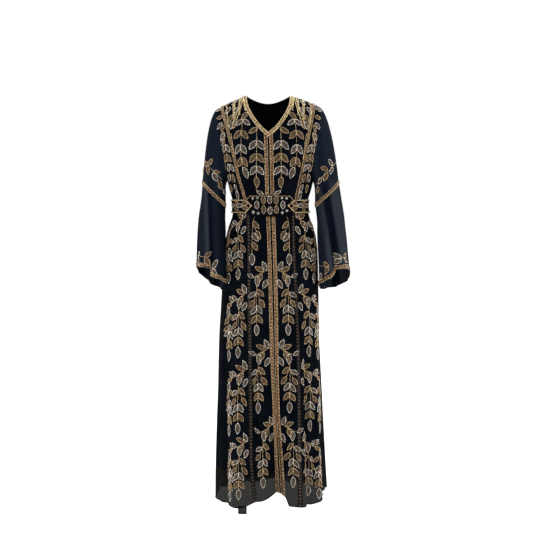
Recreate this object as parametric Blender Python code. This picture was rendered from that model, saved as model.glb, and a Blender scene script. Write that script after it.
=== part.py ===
"""Floor-length beaded kaftan dress, in the hollow form that it has when it is worn.

Metres. +Z is up, the front faces -Y and +X is the viewer's right. The origin lies between
the shoulders at the height of the neck points, where the wearer carries the dress.
"""

from collections import namedtuple

import bpy
import numpy as np

# Cloth and trim
CLOTH = 0.002  # georgette and its lining, as one wall
SEAM_GAP = 0.0003
ARMHOLE_GAP = 0.0006
ELBOW_GAP = 0.0006
TRIM_GAP = 0.0003  # between a trim and the cloth that it lies on
TRIM_THICK = 0.0018
TRIM_WIDTH = 0.012
PLACKET_INSET = 0.0025  # from the centre front to the near edge of each placket trim
NECK_TRIM_WIDTH = 0.013

# Heights
NECK_HALF_WIDTH = 0.072
NECK_DEPTH = 0.126
BACK_NECK_DEPTH = 0.018
ARMPIT_Z = -0.285
BELT_LOW_Z = -0.395
HEM_Z = -1.357
SHOULDER_SLOPE_LEFT = 0.33
SHOULDER_SLOPE_RIGHT = 0.25
SHOULDER_CURVE = 1.2  # how much steeper the shoulder becomes further out, per metre
SHOULDER_ROUND = 0.09  # height over which the shoulder rounds into an upright wall

# Rows and columns of the panels
TOP_ROWS = 8
WAIST_ROWS_Z = (-0.304, -0.323, -0.345, -0.370, BELT_LOW_Z)
WAIST_ROW = TOP_ROWS + 1 + 4  # the row of the waist seam, which the belt hides
SKIRT_ROWS = 10
CENTRE_COLUMNS = 8
SIDE_COLUMNS = 8
BACK_COLUMNS = 12
FRONT_NECK_COLUMNS_X = (0.032, 0.054, 0.0655, 0.0705, NECK_HALF_WIDTH)
SIDE_GORE_COLUMN = 6  # where the seam of the gore lies in a side panel of the skirt
BACK_GORE_COLUMN = 6
NECK_EASE = 0.07  # height over which a column swings from the neckline over to its own line
BACK_NECK_COLUMNS_X = (SEAM_GAP / 2, 0.020, 0.040, 0.056, 0.066, NECK_HALF_WIDTH)
UPPER_SLEEVE_ROWS = 5
LOWER_SLEEVE_ROWS = 5

Section = namedtuple("Section", "z half_width front_depth back_depth centre_x")
SECTIONS = (
    Section(0.030, 0.186, 0.080, 0.088, 0.000),
    Section(-0.050, 0.189, 0.100, 0.098, 0.000),
    Section(-0.100, 0.188, 0.114, 0.104, 0.000),
    Section(-0.160, 0.178, 0.125, 0.106, 0.001),
    Section(-0.210, 0.164, 0.128, 0.104, 0.002),
    Section(-0.260, 0.149, 0.121, 0.098, 0.004),
    Section(-0.303, 0.138, 0.109, 0.092, 0.006),
    Section(-0.367, 0.124, 0.096, 0.086, 0.007),
    Section(-0.400, 0.128, 0.098, 0.090, 0.0085),
    Section(-0.439, 0.142, 0.107, 0.103, 0.009),
    Section(-0.520, 0.158, 0.120, 0.124, 0.0075),
    Section(-0.680, 0.164, 0.130, 0.132, 0.006),
    Section(-0.830, 0.170, 0.136, 0.137, 0.003),
    Section(-1.030, 0.176, 0.143, 0.143, 0.004),
    Section(-1.230, 0.181, 0.149, 0.148, 0.006),
    Section(-1.360, 0.185, 0.152, 0.150, 0.009),
)

# The three seams that run down the front: centre x at each height
Seam = namedtuple("Seam", "z left placket right")
SEAMS = (
    Seam(0.030, -0.160, 0.000, 0.156),
    Seam(-0.033, -0.154, 0.000, 0.151),
    Seam(-0.095, -0.138, 0.000, 0.139),
    Seam(-0.153, -0.123, 0.001, 0.127),
    Seam(-0.205, -0.111, 0.002, 0.118),
    Seam(-0.262, -0.099, 0.003, 0.107),
    Seam(-0.334, -0.078, 0.005, 0.092),
    Seam(-0.400, -0.066, 0.008, 0.081),
    Seam(-0.520, -0.063, 0.012, 0.083),
    Seam(-0.660, -0.062, 0.016, 0.090),
    Seam(-0.860, -0.060, 0.020, 0.095),
    Seam(-1.030, -0.059, 0.028, 0.096),
    Seam(-1.200, -0.058, 0.040, 0.097),
    Seam(-1.350, -0.046, 0.049, 0.100),
)

# The front neckline, from the point of the V up to the neck point
Neck = namedtuple("Neck", "x z")
FRONT_NECK = (
    Neck(0.000, -NECK_DEPTH),
    Neck(0.016, -0.113),
    Neck(0.037, -0.088),
    Neck(0.056, -0.058),
    Neck(0.068, -0.028),
    Neck(NECK_HALF_WIDTH, 0.000),
)

# The armhole edge, as a share of the section's half width
Armhole = namedtuple("Armhole", "z share")
ARMHOLE = (
    Armhole(-0.030, 0.915),
    Armhole(-0.045, 0.910),
    Armhole(-0.100, 0.875),
    Armhole(-0.160, 0.868),
    Armhole(-0.220, 0.890),
    Armhole(-0.262, 0.945),
    Armhole(ARMPIT_Z, 1.000),
)

# Folds of the skirt: ridges stand out and creases go in, from a start height down to the hem
Fold = namedtuple("Fold", "angle spread out start sway")
SKIRT_FOLDS = (
    Fold(-34, 20, 0.020, -0.50, 2),
    Fold(6, 16, -0.046, -0.62, 4),
    Fold(33, 13, 0.018, -0.55, 2),
    Fold(-18, 7, -0.012, -0.41, 1),
    Fold(41, 7, -0.013, -0.41, 3),
    Fold(-54, 7, -0.010, -0.60, -3),
    Fold(60, 9, 0.012, -0.70, 2),
    Fold(79, 8, -0.012, -0.74, 2),
    Fold(-77, 9, 0.008, -0.78, -2),
    Fold(101, 9, 0.014, -0.66, -3),
    Fold(118, 8, -0.016, -0.47, 2),
    Fold(136, 10, 0.018, -0.52, 3),
    Fold(155, 9, -0.020, -0.44, -2),
    Fold(173, 10, 0.020, -0.50, 2),
    Fold(-168, 9, -0.018, -0.43, 3),
    Fold(-149, 10, 0.022, -0.55, -2),
    Fold(-130, 8, -0.018, -0.46, -3),
    Fold(-112, 9, 0.014, -0.60, 2),
    Fold(-96, 7, -0.008, -0.80, 0),
)

# How far the hem hangs above or below its mean height, round the skirt
HemDrop = namedtuple("HemDrop", "angle rise")
HEM_DROPS = (
    HemDrop(-180, 0.004),
    HemDrop(-140, -0.006),
    HemDrop(-95, 0.004),
    HemDrop(-67, -0.009),
    HemDrop(-36, -0.008),
    HemDrop(-14, 0.014),
    HemDrop(2, 0.027),
    HemDrop(10, 0.036),
    HemDrop(16, 0.032),
    HemDrop(20, -0.002),
    HemDrop(38, -0.005),
    HemDrop(50, -0.008),
    HemDrop(69, 0.006),
    HemDrop(92, 0.014),
    HemDrop(140, -0.004),
    HemDrop(180, 0.004),
)

# Sleeves: a row for each level, the right sleeve standing out a little further
Ring = namedtuple("Ring", "z left_x left_half right_x right_half centre_y half_depth")
SLEEVE_RINGS = (
    Ring(-0.270, 0.179, 0.041, 0.190, 0.044, 0.004, 0.064),
    Ring(-0.326, 0.183, 0.040, 0.199, 0.044, 0.000, 0.070),
    Ring(-0.420, 0.190, 0.043, 0.211, 0.044, -0.008, 0.078),
    Ring(-0.500, 0.189, 0.048, 0.214, 0.049, -0.016, 0.088),
    Ring(-0.580, 0.189, 0.052, 0.220, 0.052, -0.024, 0.098),
    Ring(-0.670, 0.189, 0.055, 0.224, 0.055, -0.030, 0.104),
)
ELBOW_Z = -0.326  # mean height of the seam round the elbow
ELBOW_SLANT = 0.040  # how much that seam is higher outside and lower inside
ELBOW_BAND_HALF = 0.007
CUFF_BAND_WIDTH = 0.013
CUFF_BAND_LIFT = 0.004  # from the sleeve's hem up to the band
SLEEVE_FOLD_LOW_Z = -0.60
SLEEVE_CLEARANCE = 0.008  # between the inner faces of the sleeve and the skirt
SLEEVE_SOFTNESS = 0.03
SLEEVE_ROUND_HEIGHT = 0.10  # height over which the armhole seam turns under the arm

# Folds of a sleeve. Angle 0 is its outer side, 90 its front and 180 the side by the body.
SLEEVE_FOLDS = (
    Fold(24, 14, -0.005, -0.38, 0),
    Fold(60, 20, 0.007, -0.30, 0),
    Fold(91, 13, -0.012, -0.28, 0),
    Fold(115, 13, 0.006, -0.32, 0),
    Fold(140, 14, -0.007, -0.30, 0),
    Fold(232, 18, -0.010, -0.33, 0),
    Fold(262, 20, 0.010, -0.30, 0),
    Fold(292, 16, -0.009, -0.36, 0),
    Fold(322, 17, 0.007, -0.42, 0),
)

# Height of a sleeve's hem round its opening, lifted in front where the hand comes out
SleeveHem = namedtuple("SleeveHem", "angle left right")
SLEEVE_HEM = (
    SleeveHem(0, -0.574, -0.603),
    SleeveHem(20, -0.571, -0.580),
    SleeveHem(60, -0.570, -0.575),
    SleeveHem(82, -0.572, -0.578),
    SleeveHem(94, -0.600, -0.584),
    SleeveHem(106, -0.606, -0.606),
    SleeveHem(140, -0.620, -0.622),
    SleeveHem(180, -0.640, -0.640),
    SleeveHem(235, -0.656, -0.655),
    SleeveHem(280, -0.640, -0.650),
    SleeveHem(325, -0.596, -0.625),
    SleeveHem(360, -0.574, -0.603),
)

# Belt: a deep jewelled front, pointed tabs that lap over it, and a plain strap behind
BELT_X = 0.005  # the belt's middle
BELT_MID_Z = -0.3655
BELT_LIFT = CLOTH + TRIM_GAP + TRIM_THICK + 0.0009  # clears the trims that pass under it
BELT_THICK = 0.002
BELT_FRONT_HALF = 0.088  # along the waist, from its middle to each end
BELT_FRONT_OPEN = 0.060  # to where the deep front starts to narrow under the tabs
BELT_FRONT_TOP = 0.034
BELT_FRONT_LOW = 0.036
BELT_FRONT_COLUMNS = 32
BELT_FRONT_ROWS = 12
BELT_STRAP_TOP = 0.020
BELT_STRAP_LOW = 0.025
BELT_STRAP_ROWS = 2
BELT_TAB_TIP = 0.057  # along the waist, from the middle to the point of a tab
BELT_TAB_POINT = 0.022  # length over which a tab narrows to its point
BELT_SIDE = 0.175  # along the waist, from the middle to where the back strap starts
BELT_SETTLE = 0.030  # length over which a strap comes down onto the cloth

Jewel = namedtuple("Jewel", "along up half_width half_height")
JEWELS = (
    Jewel(0.000, 0.017, 0.0080, 0.0135),
    Jewel(0.020, 0.016, 0.0080, 0.0130),
    Jewel(0.000, -0.018, 0.0080, 0.0130),
    Jewel(0.021, -0.017, 0.0080, 0.0130),
    Jewel(0.043, 0.000, 0.0075, 0.0130),
    Jewel(0.036, 0.021, 0.0050, 0.0050),
    Jewel(0.053, 0.022, 0.0050, 0.0050),
    Jewel(0.038, -0.023, 0.0050, 0.0065),
    Jewel(0.054, -0.023, 0.0050, 0.0060),
)
JEWEL_RISE = 0.003


def smooth_curve(rows, key, value):
    """A function that runs smoothly through the named columns of a table."""
    order = sorted(rows, key=lambda row: getattr(row, key))
    keys = np.array([getattr(row, key) for row in order], float)
    values = np.array([getattr(row, value) for row in order], float)
    steps = np.diff(values) / np.diff(keys)
    before, after = steps[:-1], steps[1:]
    turns = before * after <= 0
    mean = 2 * before * after / np.where(turns, 1, before + after)
    slopes = np.concatenate([steps[:1], np.where(turns, 0, mean), steps[-1:]])

    def at(where):
        where = np.clip(where, keys[0], keys[-1])
        span = np.clip(np.searchsorted(keys, where) - 1, 0, len(keys) - 2)
        width = keys[span + 1] - keys[span]
        t = (where - keys[span]) / width
        rise = values[span] * (1 + 2 * t) * (1 - t) ** 2 + values[span + 1] * t * t * (3 - 2 * t)
        return rise + width * t * (1 - t) * (slopes[span] * (1 - t) - slopes[span + 1] * t)

    return at


half_width = smooth_curve(SECTIONS, "z", "half_width")
front_depth = smooth_curve(SECTIONS, "z", "front_depth")
back_depth = smooth_curve(SECTIONS, "z", "back_depth")
centre_x = smooth_curve(SECTIONS, "z", "centre_x")
left_seam_x = smooth_curve(SEAMS, "z", "left")
placket_x = smooth_curve(SEAMS, "z", "placket")
right_seam_x = smooth_curve(SEAMS, "z", "right")
front_neck_z = smooth_curve(FRONT_NECK, "x", "z")
armhole_share = smooth_curve(ARMHOLE, "z", "share")
hem_rise = smooth_curve(HEM_DROPS, "angle", "rise")
ring_centre_y = smooth_curve(SLEEVE_RINGS, "z", "centre_y")
ring_half_depth = smooth_curve(SLEEVE_RINGS, "z", "half_depth")
ring_centre_x = {side: smooth_curve(SLEEVE_RINGS, "z", f"{side}_x") for side in ("left", "right")}
ring_half_width = {side: smooth_curve(SLEEVE_RINGS, "z", f"{side}_half") for side in ("left", "right")}
sleeve_hem_z = {side: smooth_curve(SLEEVE_HEM, "angle", side) for side in ("left", "right")}
SIDES = {"left": -1, "right": 1}


def ease(t):
    """0 to 1 with a soft start and end."""
    t = np.clip(t, 0, 1)
    return t * t * (3 - 2 * t)


def fold_out(folds, degrees, z, low_z):
    """How far the folds push the cloth out at an angle and height."""
    total = np.zeros(np.broadcast(degrees, z).shape)
    for fold in folds:
        grown = ease((fold.start - z) / (fold.start - low_z))
        off = (degrees - fold.angle - fold.sway * (1 - grown) + 180) % 360 - 180
        total = total + fold.out * grown * np.cos(np.clip(off / fold.spread, -1, 1) * np.pi / 2) ** 2
    return total


def shoulder_z(x):
    """Height of the shoulder line, which drops away from the neck point."""
    beyond = np.abs(x) - NECK_HALF_WIDTH
    side = ease(x / (2 * NECK_HALF_WIDTH) + 0.5)
    slope = SHOULDER_SLOPE_LEFT + (SHOULDER_SLOPE_RIGHT - SHOULDER_SLOPE_LEFT) * side
    return -slope * beyond - SHOULDER_CURVE * np.maximum(beyond, 0) ** 2


def shoulder_slope(x):
    step = 0.001
    return (shoulder_z(x + step) - shoulder_z(x - step)) / (2 * step)


def section_xy(theta, z):
    """The horizontal section of the body at a height, with its folds and not the shoulders."""
    wide, deep = half_width(z), np.where(np.cos(theta) >= 0, front_depth(z), back_depth(z))
    out_x, out_y = np.sin(theta) / wide, -np.cos(theta) / deep
    length = np.hypot(out_x, out_y)
    out = fold_out(SKIRT_FOLDS, np.degrees(theta), z, HEM_Z)
    x = centre_x(z) + wide * np.sin(theta) + out * out_x / length
    return x, -deep * np.cos(theta) + out * out_y / length


def body(theta, z):
    """Points of the body's outer face and the directions out of it. Theta 0 is the middle of
    the front and grows towards the viewer's right."""
    theta, z = np.broadcast_arrays(np.asarray(theta, float), np.asarray(z, float))
    x, y = section_xy(theta, z)
    step = 0.01
    x_ahead, y_ahead = section_xy(theta + step, z)
    x_behind, y_behind = section_xy(theta - step, z)
    flat = np.stack([y_ahead - y_behind, x_behind - x_ahead, np.zeros_like(x)], -1)
    flat /= np.linalg.norm(flat, axis=-1, keepdims=True)
    below = np.clip((shoulder_z(x) - z) / SHOULDER_ROUND, 0, 1)
    upright = np.sqrt(1 - (1 - below) ** 2)
    slope = shoulder_slope(x)
    up = np.stack([-slope, np.zeros_like(x), np.ones_like(x)], -1)
    up /= np.linalg.norm(up, axis=-1, keepdims=True)
    out = flat * upright[..., None] + up * (1 - below)[..., None]
    out /= np.linalg.norm(out, axis=-1, keepdims=True)
    behind = np.where(np.cos(theta) >= 0, -SEAM_GAP / 2, SEAM_GAP / 2)  # the shoulder seam
    return np.stack([x, y * upright + behind, z], -1), out


def theta_of_x(x, z):
    """The front angle whose smooth section stands at x."""
    return np.arcsin(np.clip((x - centre_x(z)) / half_width(z), -1, 1))


def metres_per_radian(theta, z):
    deep = np.where(np.cos(theta) >= 0, front_depth(z), back_depth(z))
    return np.hypot(half_width(z) * np.cos(theta), deep * np.sin(theta))


def armhole_line(sign, front):
    """The edge of a panel by the arm: the armhole, and below it the side seam."""
    def at(z):
        theta = np.where(z >= ARMPIT_Z, np.arcsin(np.clip(armhole_share(z), 0, 1)), np.pi / 2)
        return sign * (theta if front else np.pi - theta)

    return at


def front_line(name):
    """The angle of a front seam as a function of height."""
    seam_x = {"left": left_seam_x, "placket": placket_x, "right": right_seam_x}[name]
    return lambda z: theta_of_x(seam_x(z), z)


def between(line_a, line_b, share):
    return lambda z: line_a(z) + (line_b(z) - line_a(z)) * share


def moved(line, metres):
    """A line beside another, a fixed width away along the cloth."""
    return lambda z: line(z) + metres / metres_per_radian(line(z), z)


def shoulder_top(line):
    """The height where a line of the body meets the shoulder line."""
    z = 0.0
    for _ in range(40):
        z = 0.5 * z + 0.5 * float(shoulder_z(section_xy(line(z), z)[0]))
    return z


def row_shares(below_shoulder, edge):
    """Where the rows between a column's top and the armpit lie, as shares of the way down.
    They are close together where the shoulder rounds over, and at both ends by the armhole."""
    t = np.arange(TOP_ROWS + 1) / TOP_ROWS
    rounding = 1 - np.clip(below_shoulder / SHOULDER_ROUND, 0, 1)
    even = (1 - rounding) * t + rounding * (1 - np.cos(t * np.pi / 2))
    return (1 - edge) * even + edge * (1 - np.cos(t * np.pi)) / 2


def column(line, top, first, start=None, edge=0.0):
    """One column of the body, as angles and heights from its top down to the hem. first is
    the (angle, height) of the row above the top. Where it starts at another angle than its
    line's, it swings over to the line."""
    start = float(line(top)) if start is None else start
    below = float(shoulder_z(section_xy(np.float64(start), top)[0])) - top
    z = top + (ARMPIT_Z - top) * row_shares(max(below, 0), edge)
    swing = 1 - np.sin(np.clip((top - z) / NECK_EASE, 0, 1) * np.pi / 2)
    theta = line(z) + (start - float(line(top))) * swing
    foot_angle = (np.degrees(float(line(HEM_Z))) + 180) % 360 - 180
    foot_z = HEM_Z + float(hem_rise(foot_angle))
    share = np.arange(1, SKIRT_ROWS + 1) / SKIRT_ROWS
    low_z = np.concatenate([WAIST_ROWS_Z, BELT_LOW_Z + (foot_z - BELT_LOW_Z) * share])
    return np.concatenate([[first[0]], theta, line(low_z)]), np.concatenate([[first[1]], z, low_z])


def shoulder_column(line, edge=0.0):
    """A column that begins on the shoulder seam. Its first row only holds a place."""
    top = shoulder_top(line)
    return column(line, top, (float(line(top)), top), edge=edge)


def neck_z(x, front):
    """Height of the neckline at a distance from the middle."""
    if front:
        return float(front_neck_z(x))
    return -BACK_NECK_DEPTH * np.cos(x / NECK_HALF_WIDTH * np.pi / 2)


def neck_column(line, x, sign, front, upright=False):
    """A column that begins on the neckline at x from the middle, crosses the neck trim and
    runs down to the hem. It crosses the trim upright, or else square to the neckline."""
    def angle(at_x, z):
        theta = float(theta_of_x(sign * at_x, z))
        return theta if front else sign * np.pi - theta

    step = 0.001
    behind = max(x - step, 0)
    slope = (neck_z(behind + step, front) - neck_z(behind, front)) / step
    length = np.hypot(1, slope)
    far_x = x + NECK_TRIM_WIDTH * slope / length
    far_z = neck_z(x, front) - NECK_TRIM_WIDTH / length
    if upright:
        far_x, far_z = x, neck_z(x, front) - NECK_TRIM_WIDTH * length
    if x >= NECK_HALF_WIDTH:
        far_x = x + NECK_TRIM_WIDTH
        far_z = float(shoulder_z(far_x))
    near = (angle(x, neck_z(x, front)), neck_z(x, front))
    return column(line, far_z, near, start=angle(far_x, far_z))


class Grid:
    """Points in columns and rows, and the direction out of the cloth at each of them. In a
    body panel, neck_columns says how many columns begin on the neckline."""

    def __init__(self, points, outs, neck_columns=None):
        self.points, self.outs, self.neck_columns = points, outs, neck_columns

    def cells(self, closed):
        """The cells that cloth fills. A body panel's first row is there only at the neck."""
        count, rows = self.points.shape[:2]
        across = range(count if closed else count - 1)
        neck = count if self.neck_columns is None else self.neck_columns
        return [(c, r) for c in across for r in range(rows - 1) if r > 0 or closed or c < neck - 1]


def cut_at_waist(grid):
    """A panel's bodice and skirt, with the waist seam between them."""
    step = unit(grid.points[:, WAIST_ROW + 1] - grid.points[:, WAIST_ROW]) * SEAM_GAP / 2
    bodice = Grid(grid.points[:, : WAIST_ROW + 1].copy(), grid.outs[:, : WAIST_ROW + 1], grid.neck_columns)
    skirt = Grid(grid.points[:, WAIST_ROW:].copy(), grid.outs[:, WAIST_ROW:])
    bodice.points[:, -1] -= step
    skirt.points[:, 0] += step
    return bodice, skirt


def cut_along(grid, column):
    """The two pieces of a skirt panel on each side of a seam that runs down it."""
    near = Grid(grid.points[: column + 1].copy(), grid.outs[: column + 1])
    far = Grid(grid.points[column:].copy(), grid.outs[column:])
    step = unit(grid.points[column + 1] - grid.points[column]) * SEAM_GAP / 2
    near.points[-1] -= step
    far.points[0] += step
    return near, far


def panel(columns, neck_columns):
    made = [body(theta, z) for theta, z in columns]
    return Grid(np.stack([p for p, _ in made]), np.stack([o for _, o in made]), neck_columns)


def front_centre(side):
    """A centre front panel, with columns from the placket out to the front seam."""
    sign = SIDES[side]
    placket, seam = front_line("placket"), front_line(side)
    insets = (SEAM_GAP / 2, PLACKET_INSET, PLACKET_INSET + TRIM_WIDTH)
    lines = [moved(placket, sign * inset) for inset in insets]
    columns = [neck_column(line, x, sign, True, True) for line, x in zip(lines, insets)]
    inner, outer = lines[-1], moved(seam, -sign * TRIM_WIDTH / 2)
    for k, x in enumerate(FRONT_NECK_COLUMNS_X, 1):
        columns.append(neck_column(between(inner, outer, k / CENTRE_COLUMNS), x, sign, True))
    neck_columns = len(columns)
    for k in range(len(FRONT_NECK_COLUMNS_X) + 1, CENTRE_COLUMNS + 1):
        columns.append(shoulder_column(between(inner, outer, k / CENTRE_COLUMNS)))
    columns.append(shoulder_column(moved(seam, -sign * SEAM_GAP / 2)))
    return panel(columns, neck_columns)


def front_side(side):
    """A side front panel, with columns from the front seam out to the arm."""
    sign = SIDES[side]
    seam = front_line(side)
    inner = moved(seam, sign * TRIM_WIDTH / 2)
    outer = moved(armhole_line(sign, True), -sign * SEAM_GAP / 2)
    columns = [shoulder_column(moved(seam, sign * SEAM_GAP / 2))]
    for k in range(SIDE_COLUMNS + 1):
        share = k / SIDE_COLUMNS
        columns.append(shoulder_column(between(inner, outer, share), share))
    return panel(columns, 0)


def back_half(side):
    """A back panel, with columns from the seam down its middle out to the arm."""
    sign = SIDES[side]
    inner = moved(lambda z: sign * np.pi + 0 * z, -sign * SEAM_GAP / 2)
    outer = moved(armhole_line(sign, False), sign * SEAM_GAP / 2)
    columns = []
    for k, x in enumerate(BACK_NECK_COLUMNS_X):
        line = between(inner, outer, k / BACK_COLUMNS)
        columns.append(neck_column(line, x, sign, False, k == 0))
    neck_columns = len(columns)
    for k in range(neck_columns, BACK_COLUMNS + 1):
        edge = (k - neck_columns + 1) / (BACK_COLUMNS - neck_columns + 1)
        columns.append(shoulder_column(between(inner, outer, k / BACK_COLUMNS), edge))
    return panel(columns, neck_columns)


def sleeve_ring(side, phi, z):
    """Points of a sleeve's tube at an angle and height, and the directions out of it. They
    are worked out with x growing away from the body, on either side."""
    sign = SIDES[side]
    wide, deep = ring_half_width[side](z), ring_half_depth(z)
    mid_x = sign * centre_x(z)

    def at(angle):
        out = fold_out(SLEEVE_FOLDS, np.degrees(angle), z, SLEEVE_FOLD_LOW_Z)
        out_x, out_y = np.cos(angle) / wide, -np.sin(angle) / deep
        out = out / np.hypot(out_x, out_y)
        x = ring_centre_x[side](z) + wide * np.cos(angle) + out * out_x - mid_x
        y = ring_centre_y(z) - deep * np.sin(angle) + out * out_y
        body_depth = np.where(y <= 0, front_depth(z), back_depth(z)) + SLEEVE_CLEARANCE
        share = np.hypot(x / (half_width(z) + SLEEVE_CLEARANCE), y / body_depth)
        clear = 1 + np.logaddexp(0, (share - 1) / SLEEVE_SOFTNESS) * SLEEVE_SOFTNESS
        return mid_x + x * clear / share, y * clear / share

    step = 0.02
    x, y = at(phi)
    x_ahead, y_ahead = at(phi + step)
    x_behind, y_behind = at(phi - step)
    out = np.stack([sign * (y_behind - y_ahead), x_ahead - x_behind, np.zeros_like(x)], -1)
    out /= np.linalg.norm(out, axis=-1, keepdims=True)
    return np.stack([sign * x, y, z + np.zeros_like(x)], -1), out


def unit(vectors):
    return vectors / np.linalg.norm(vectors, axis=-1, keepdims=True)


def with_midpoints(loop):
    """A closed loop of rows with the middle of each step put in."""
    return np.stack([loop, (loop + np.roll(loop, -1, 0)) / 2], 1).reshape(-1, *loop.shape[1:])


def armhole_loop(front, back, sign):
    """The start of a sleeve round its armhole: inner points, outward directions, and the
    directions in which the sleeve leaves the body. It runs from the shoulder tip down the
    front, under the arm and up the back."""
    rows = slice(1, TOP_ROWS + 2)
    corners = [grid.points[-1, rows] + grid.outs[-1, rows] * CLOTH for grid in (front, back)]
    outs = [grid.outs[-1, rows] for grid in (front, back)]

    def joined(pair):
        first, second = pair
        tip, pit = (first[0] + second[0]) / 2, (first[-1] + second[-1]) / 2
        return np.concatenate([[tip], first[1:-1], [pit], second[-2:0:-1]])

    edge, body_out = joined(corners), unit(joined(outs))
    round_out = unit((edge - edge.mean(0)) * (0, 1, 1))
    high = ease((edge[:, 2:] - ARMPIT_Z) / SLEEVE_ROUND_HEIGHT)
    out = unit(body_out * high + round_out * (1 - high))
    leave = unit(np.cross(np.roll(edge, -1, 0) - np.roll(edge, 1, 0), out))
    leave *= np.sign(leave[:, :1]) * sign
    outer = edge + leave * ARMHOLE_GAP
    return with_midpoints(outer - out * CLOTH), with_midpoints(out), unit(with_midpoints(leave))


def upper_sleeve(side, front, back):
    """The sleeve from the armhole to the seam round the elbow."""
    sign = SIDES[side]
    start, start_out, leave = armhole_loop(front, back, sign)
    phi = np.arange(len(start)) / len(start) * 2 * np.pi
    seam_z = ELBOW_Z + ELBOW_SLANT * np.cos(phi)
    end, end_out = sleeve_ring(side, phi, seam_z + ELBOW_BAND_HALF)
    seam, seam_out = sleeve_ring(side, phi, seam_z + ELBOW_GAP / 2)
    length = np.linalg.norm(end - start, axis=-1, keepdims=True)
    away = np.array([sign, 0, 0])
    down = np.array([0, 0, -1])
    leaving = length * (0.16 * leave + 0.24 * away + 0.20 * down)
    arriving = length * (0.95 * down + 0.10 * away * np.clip(np.cos(phi), 0, 1)[:, None])
    rows = []
    for k in range(UPPER_SLEEVE_ROWS + 1):
        t = k / UPPER_SLEEVE_ROWS
        rows.append(
            (1 + 2 * t) * (1 - t) ** 2 * start
            + t * (1 - t) ** 2 * leaving
            + t * t * (3 - 2 * t) * end
            - t * t * (1 - t) * arriving
        )
    points = np.stack(rows + [seam], 1)
    around = np.roll(points, -1, 0) - np.roll(points, 1, 0)
    along = np.gradient(points, axis=1)
    outs = unit(np.cross(along, around)) * -sign
    outs[:, 0] = start_out
    outs[:, -2], outs[:, -1] = end_out, seam_out
    return Grid(points, outs)


def lower_sleeve(side):
    """The sleeve from the seam round the elbow to its hem."""
    count = 4 * TOP_ROWS
    phi = np.arange(count) / count * 2 * np.pi
    seam_z = ELBOW_Z + ELBOW_SLANT * np.cos(phi)
    hem = sleeve_hem_z[side](np.degrees(phi))
    first = seam_z - ELBOW_BAND_HALF
    last = hem + CUFF_BAND_LIFT + CUFF_BAND_WIDTH
    levels = [seam_z - ELBOW_GAP / 2]
    levels += [first + (last - first) * k / LOWER_SLEEVE_ROWS for k in range(LOWER_SLEEVE_ROWS + 1)]
    levels += [hem + CUFF_BAND_LIFT, hem]
    made = [sleeve_ring(side, phi, z) for z in levels]
    return Grid(np.stack([p for p, _ in made], 1), np.stack([o for _, o in made], 1))


def waist_angle(along):
    """The body's angle at a distance along the waist from the belt's middle."""
    angles = np.linspace(-2 * np.pi, 2 * np.pi, 1441)
    step = metres_per_radian(angles, BELT_MID_Z) * (angles[1] - angles[0])
    length = np.cumsum(step)
    middle = np.interp(float(theta_of_x(BELT_X, BELT_MID_Z)), angles, length)
    return np.interp(along, length - middle, angles)


def belt_grid(along, top, low, rows):
    """A stretch of belt: columns along the waist, and rows from its top to its lower edge."""
    share = np.arange(rows + 1) / rows
    up = top[:, None] - (top + low)[:, None] * share
    points, outs = body(waist_angle(along)[:, None] + 0 * up, BELT_MID_Z + up)
    return Grid(points, outs), up


def belt_centre():
    """The deep front of the belt, with its jewels raised as domes."""
    along = np.linspace(-BELT_FRONT_HALF, BELT_FRONT_HALF, BELT_FRONT_COLUMNS + 1)
    narrow = ease((np.abs(along) - BELT_FRONT_OPEN) / BELT_TAB_POINT)[:, None].ravel()
    top = BELT_FRONT_TOP + (BELT_STRAP_TOP - 0.003 - BELT_FRONT_TOP) * narrow
    low = BELT_FRONT_LOW + (BELT_STRAP_LOW - 0.003 - BELT_FRONT_LOW) * narrow
    grid, up = belt_grid(along, top, low, BELT_FRONT_ROWS)
    rise = np.zeros_like(up)
    for jewel in JEWELS:
        across = (np.abs(along)[:, None] - jewel.along) / jewel.half_width
        far = across**2 + ((up - jewel.up) / jewel.half_height) ** 2
        rise = np.maximum(rise, JEWEL_RISE * np.sqrt(np.clip(1 - far, 0, 1)))
    piece("belt_centre", grid, BELT_LIFT, BELT_LIFT + BELT_THICK + rise, BELT_CLOTH)


def belt_strap(side):
    """A strap from its pointed tab, over the belt's front, to the side."""
    from_tip = np.array([0, 0.006, 0.013, BELT_TAB_POINT, 0.034, 0.050, 0.066, 0.082, 0.1])
    along = np.append(BELT_TAB_TIP + from_tip, BELT_SIDE)
    wide = np.clip((along - BELT_TAB_TIP) / BELT_TAB_POINT, 0.06, 1)
    grid, _ = belt_grid(SIDES[side] * along, BELT_STRAP_TOP * wide, BELT_STRAP_LOW * wide, BELT_STRAP_ROWS)
    over = 1 - ease((along - BELT_FRONT_HALF - 0.004) / BELT_SETTLE)
    level = (BELT_LIFT + over * (BELT_THICK + TRIM_GAP))[:, None]
    piece(f"belt_{side}", grid, level, level + BELT_THICK, BELT_CLOTH)


def belt_back():
    """The plain strap across the back, from side to side."""
    total = 2 * np.pi * metres_per_radian(np.linspace(-np.pi, np.pi, 721), BELT_MID_Z)[1:].mean()
    along = np.linspace(BELT_SIDE + SEAM_GAP, total - BELT_SIDE - SEAM_GAP, 25)
    flat = np.ones_like(along)
    grid, _ = belt_grid(along, BELT_STRAP_TOP * flat, BELT_STRAP_LOW * flat, BELT_STRAP_ROWS)
    piece("belt_back", grid, BELT_LIFT, BELT_LIFT + BELT_THICK, BELT_CLOTH)


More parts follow.
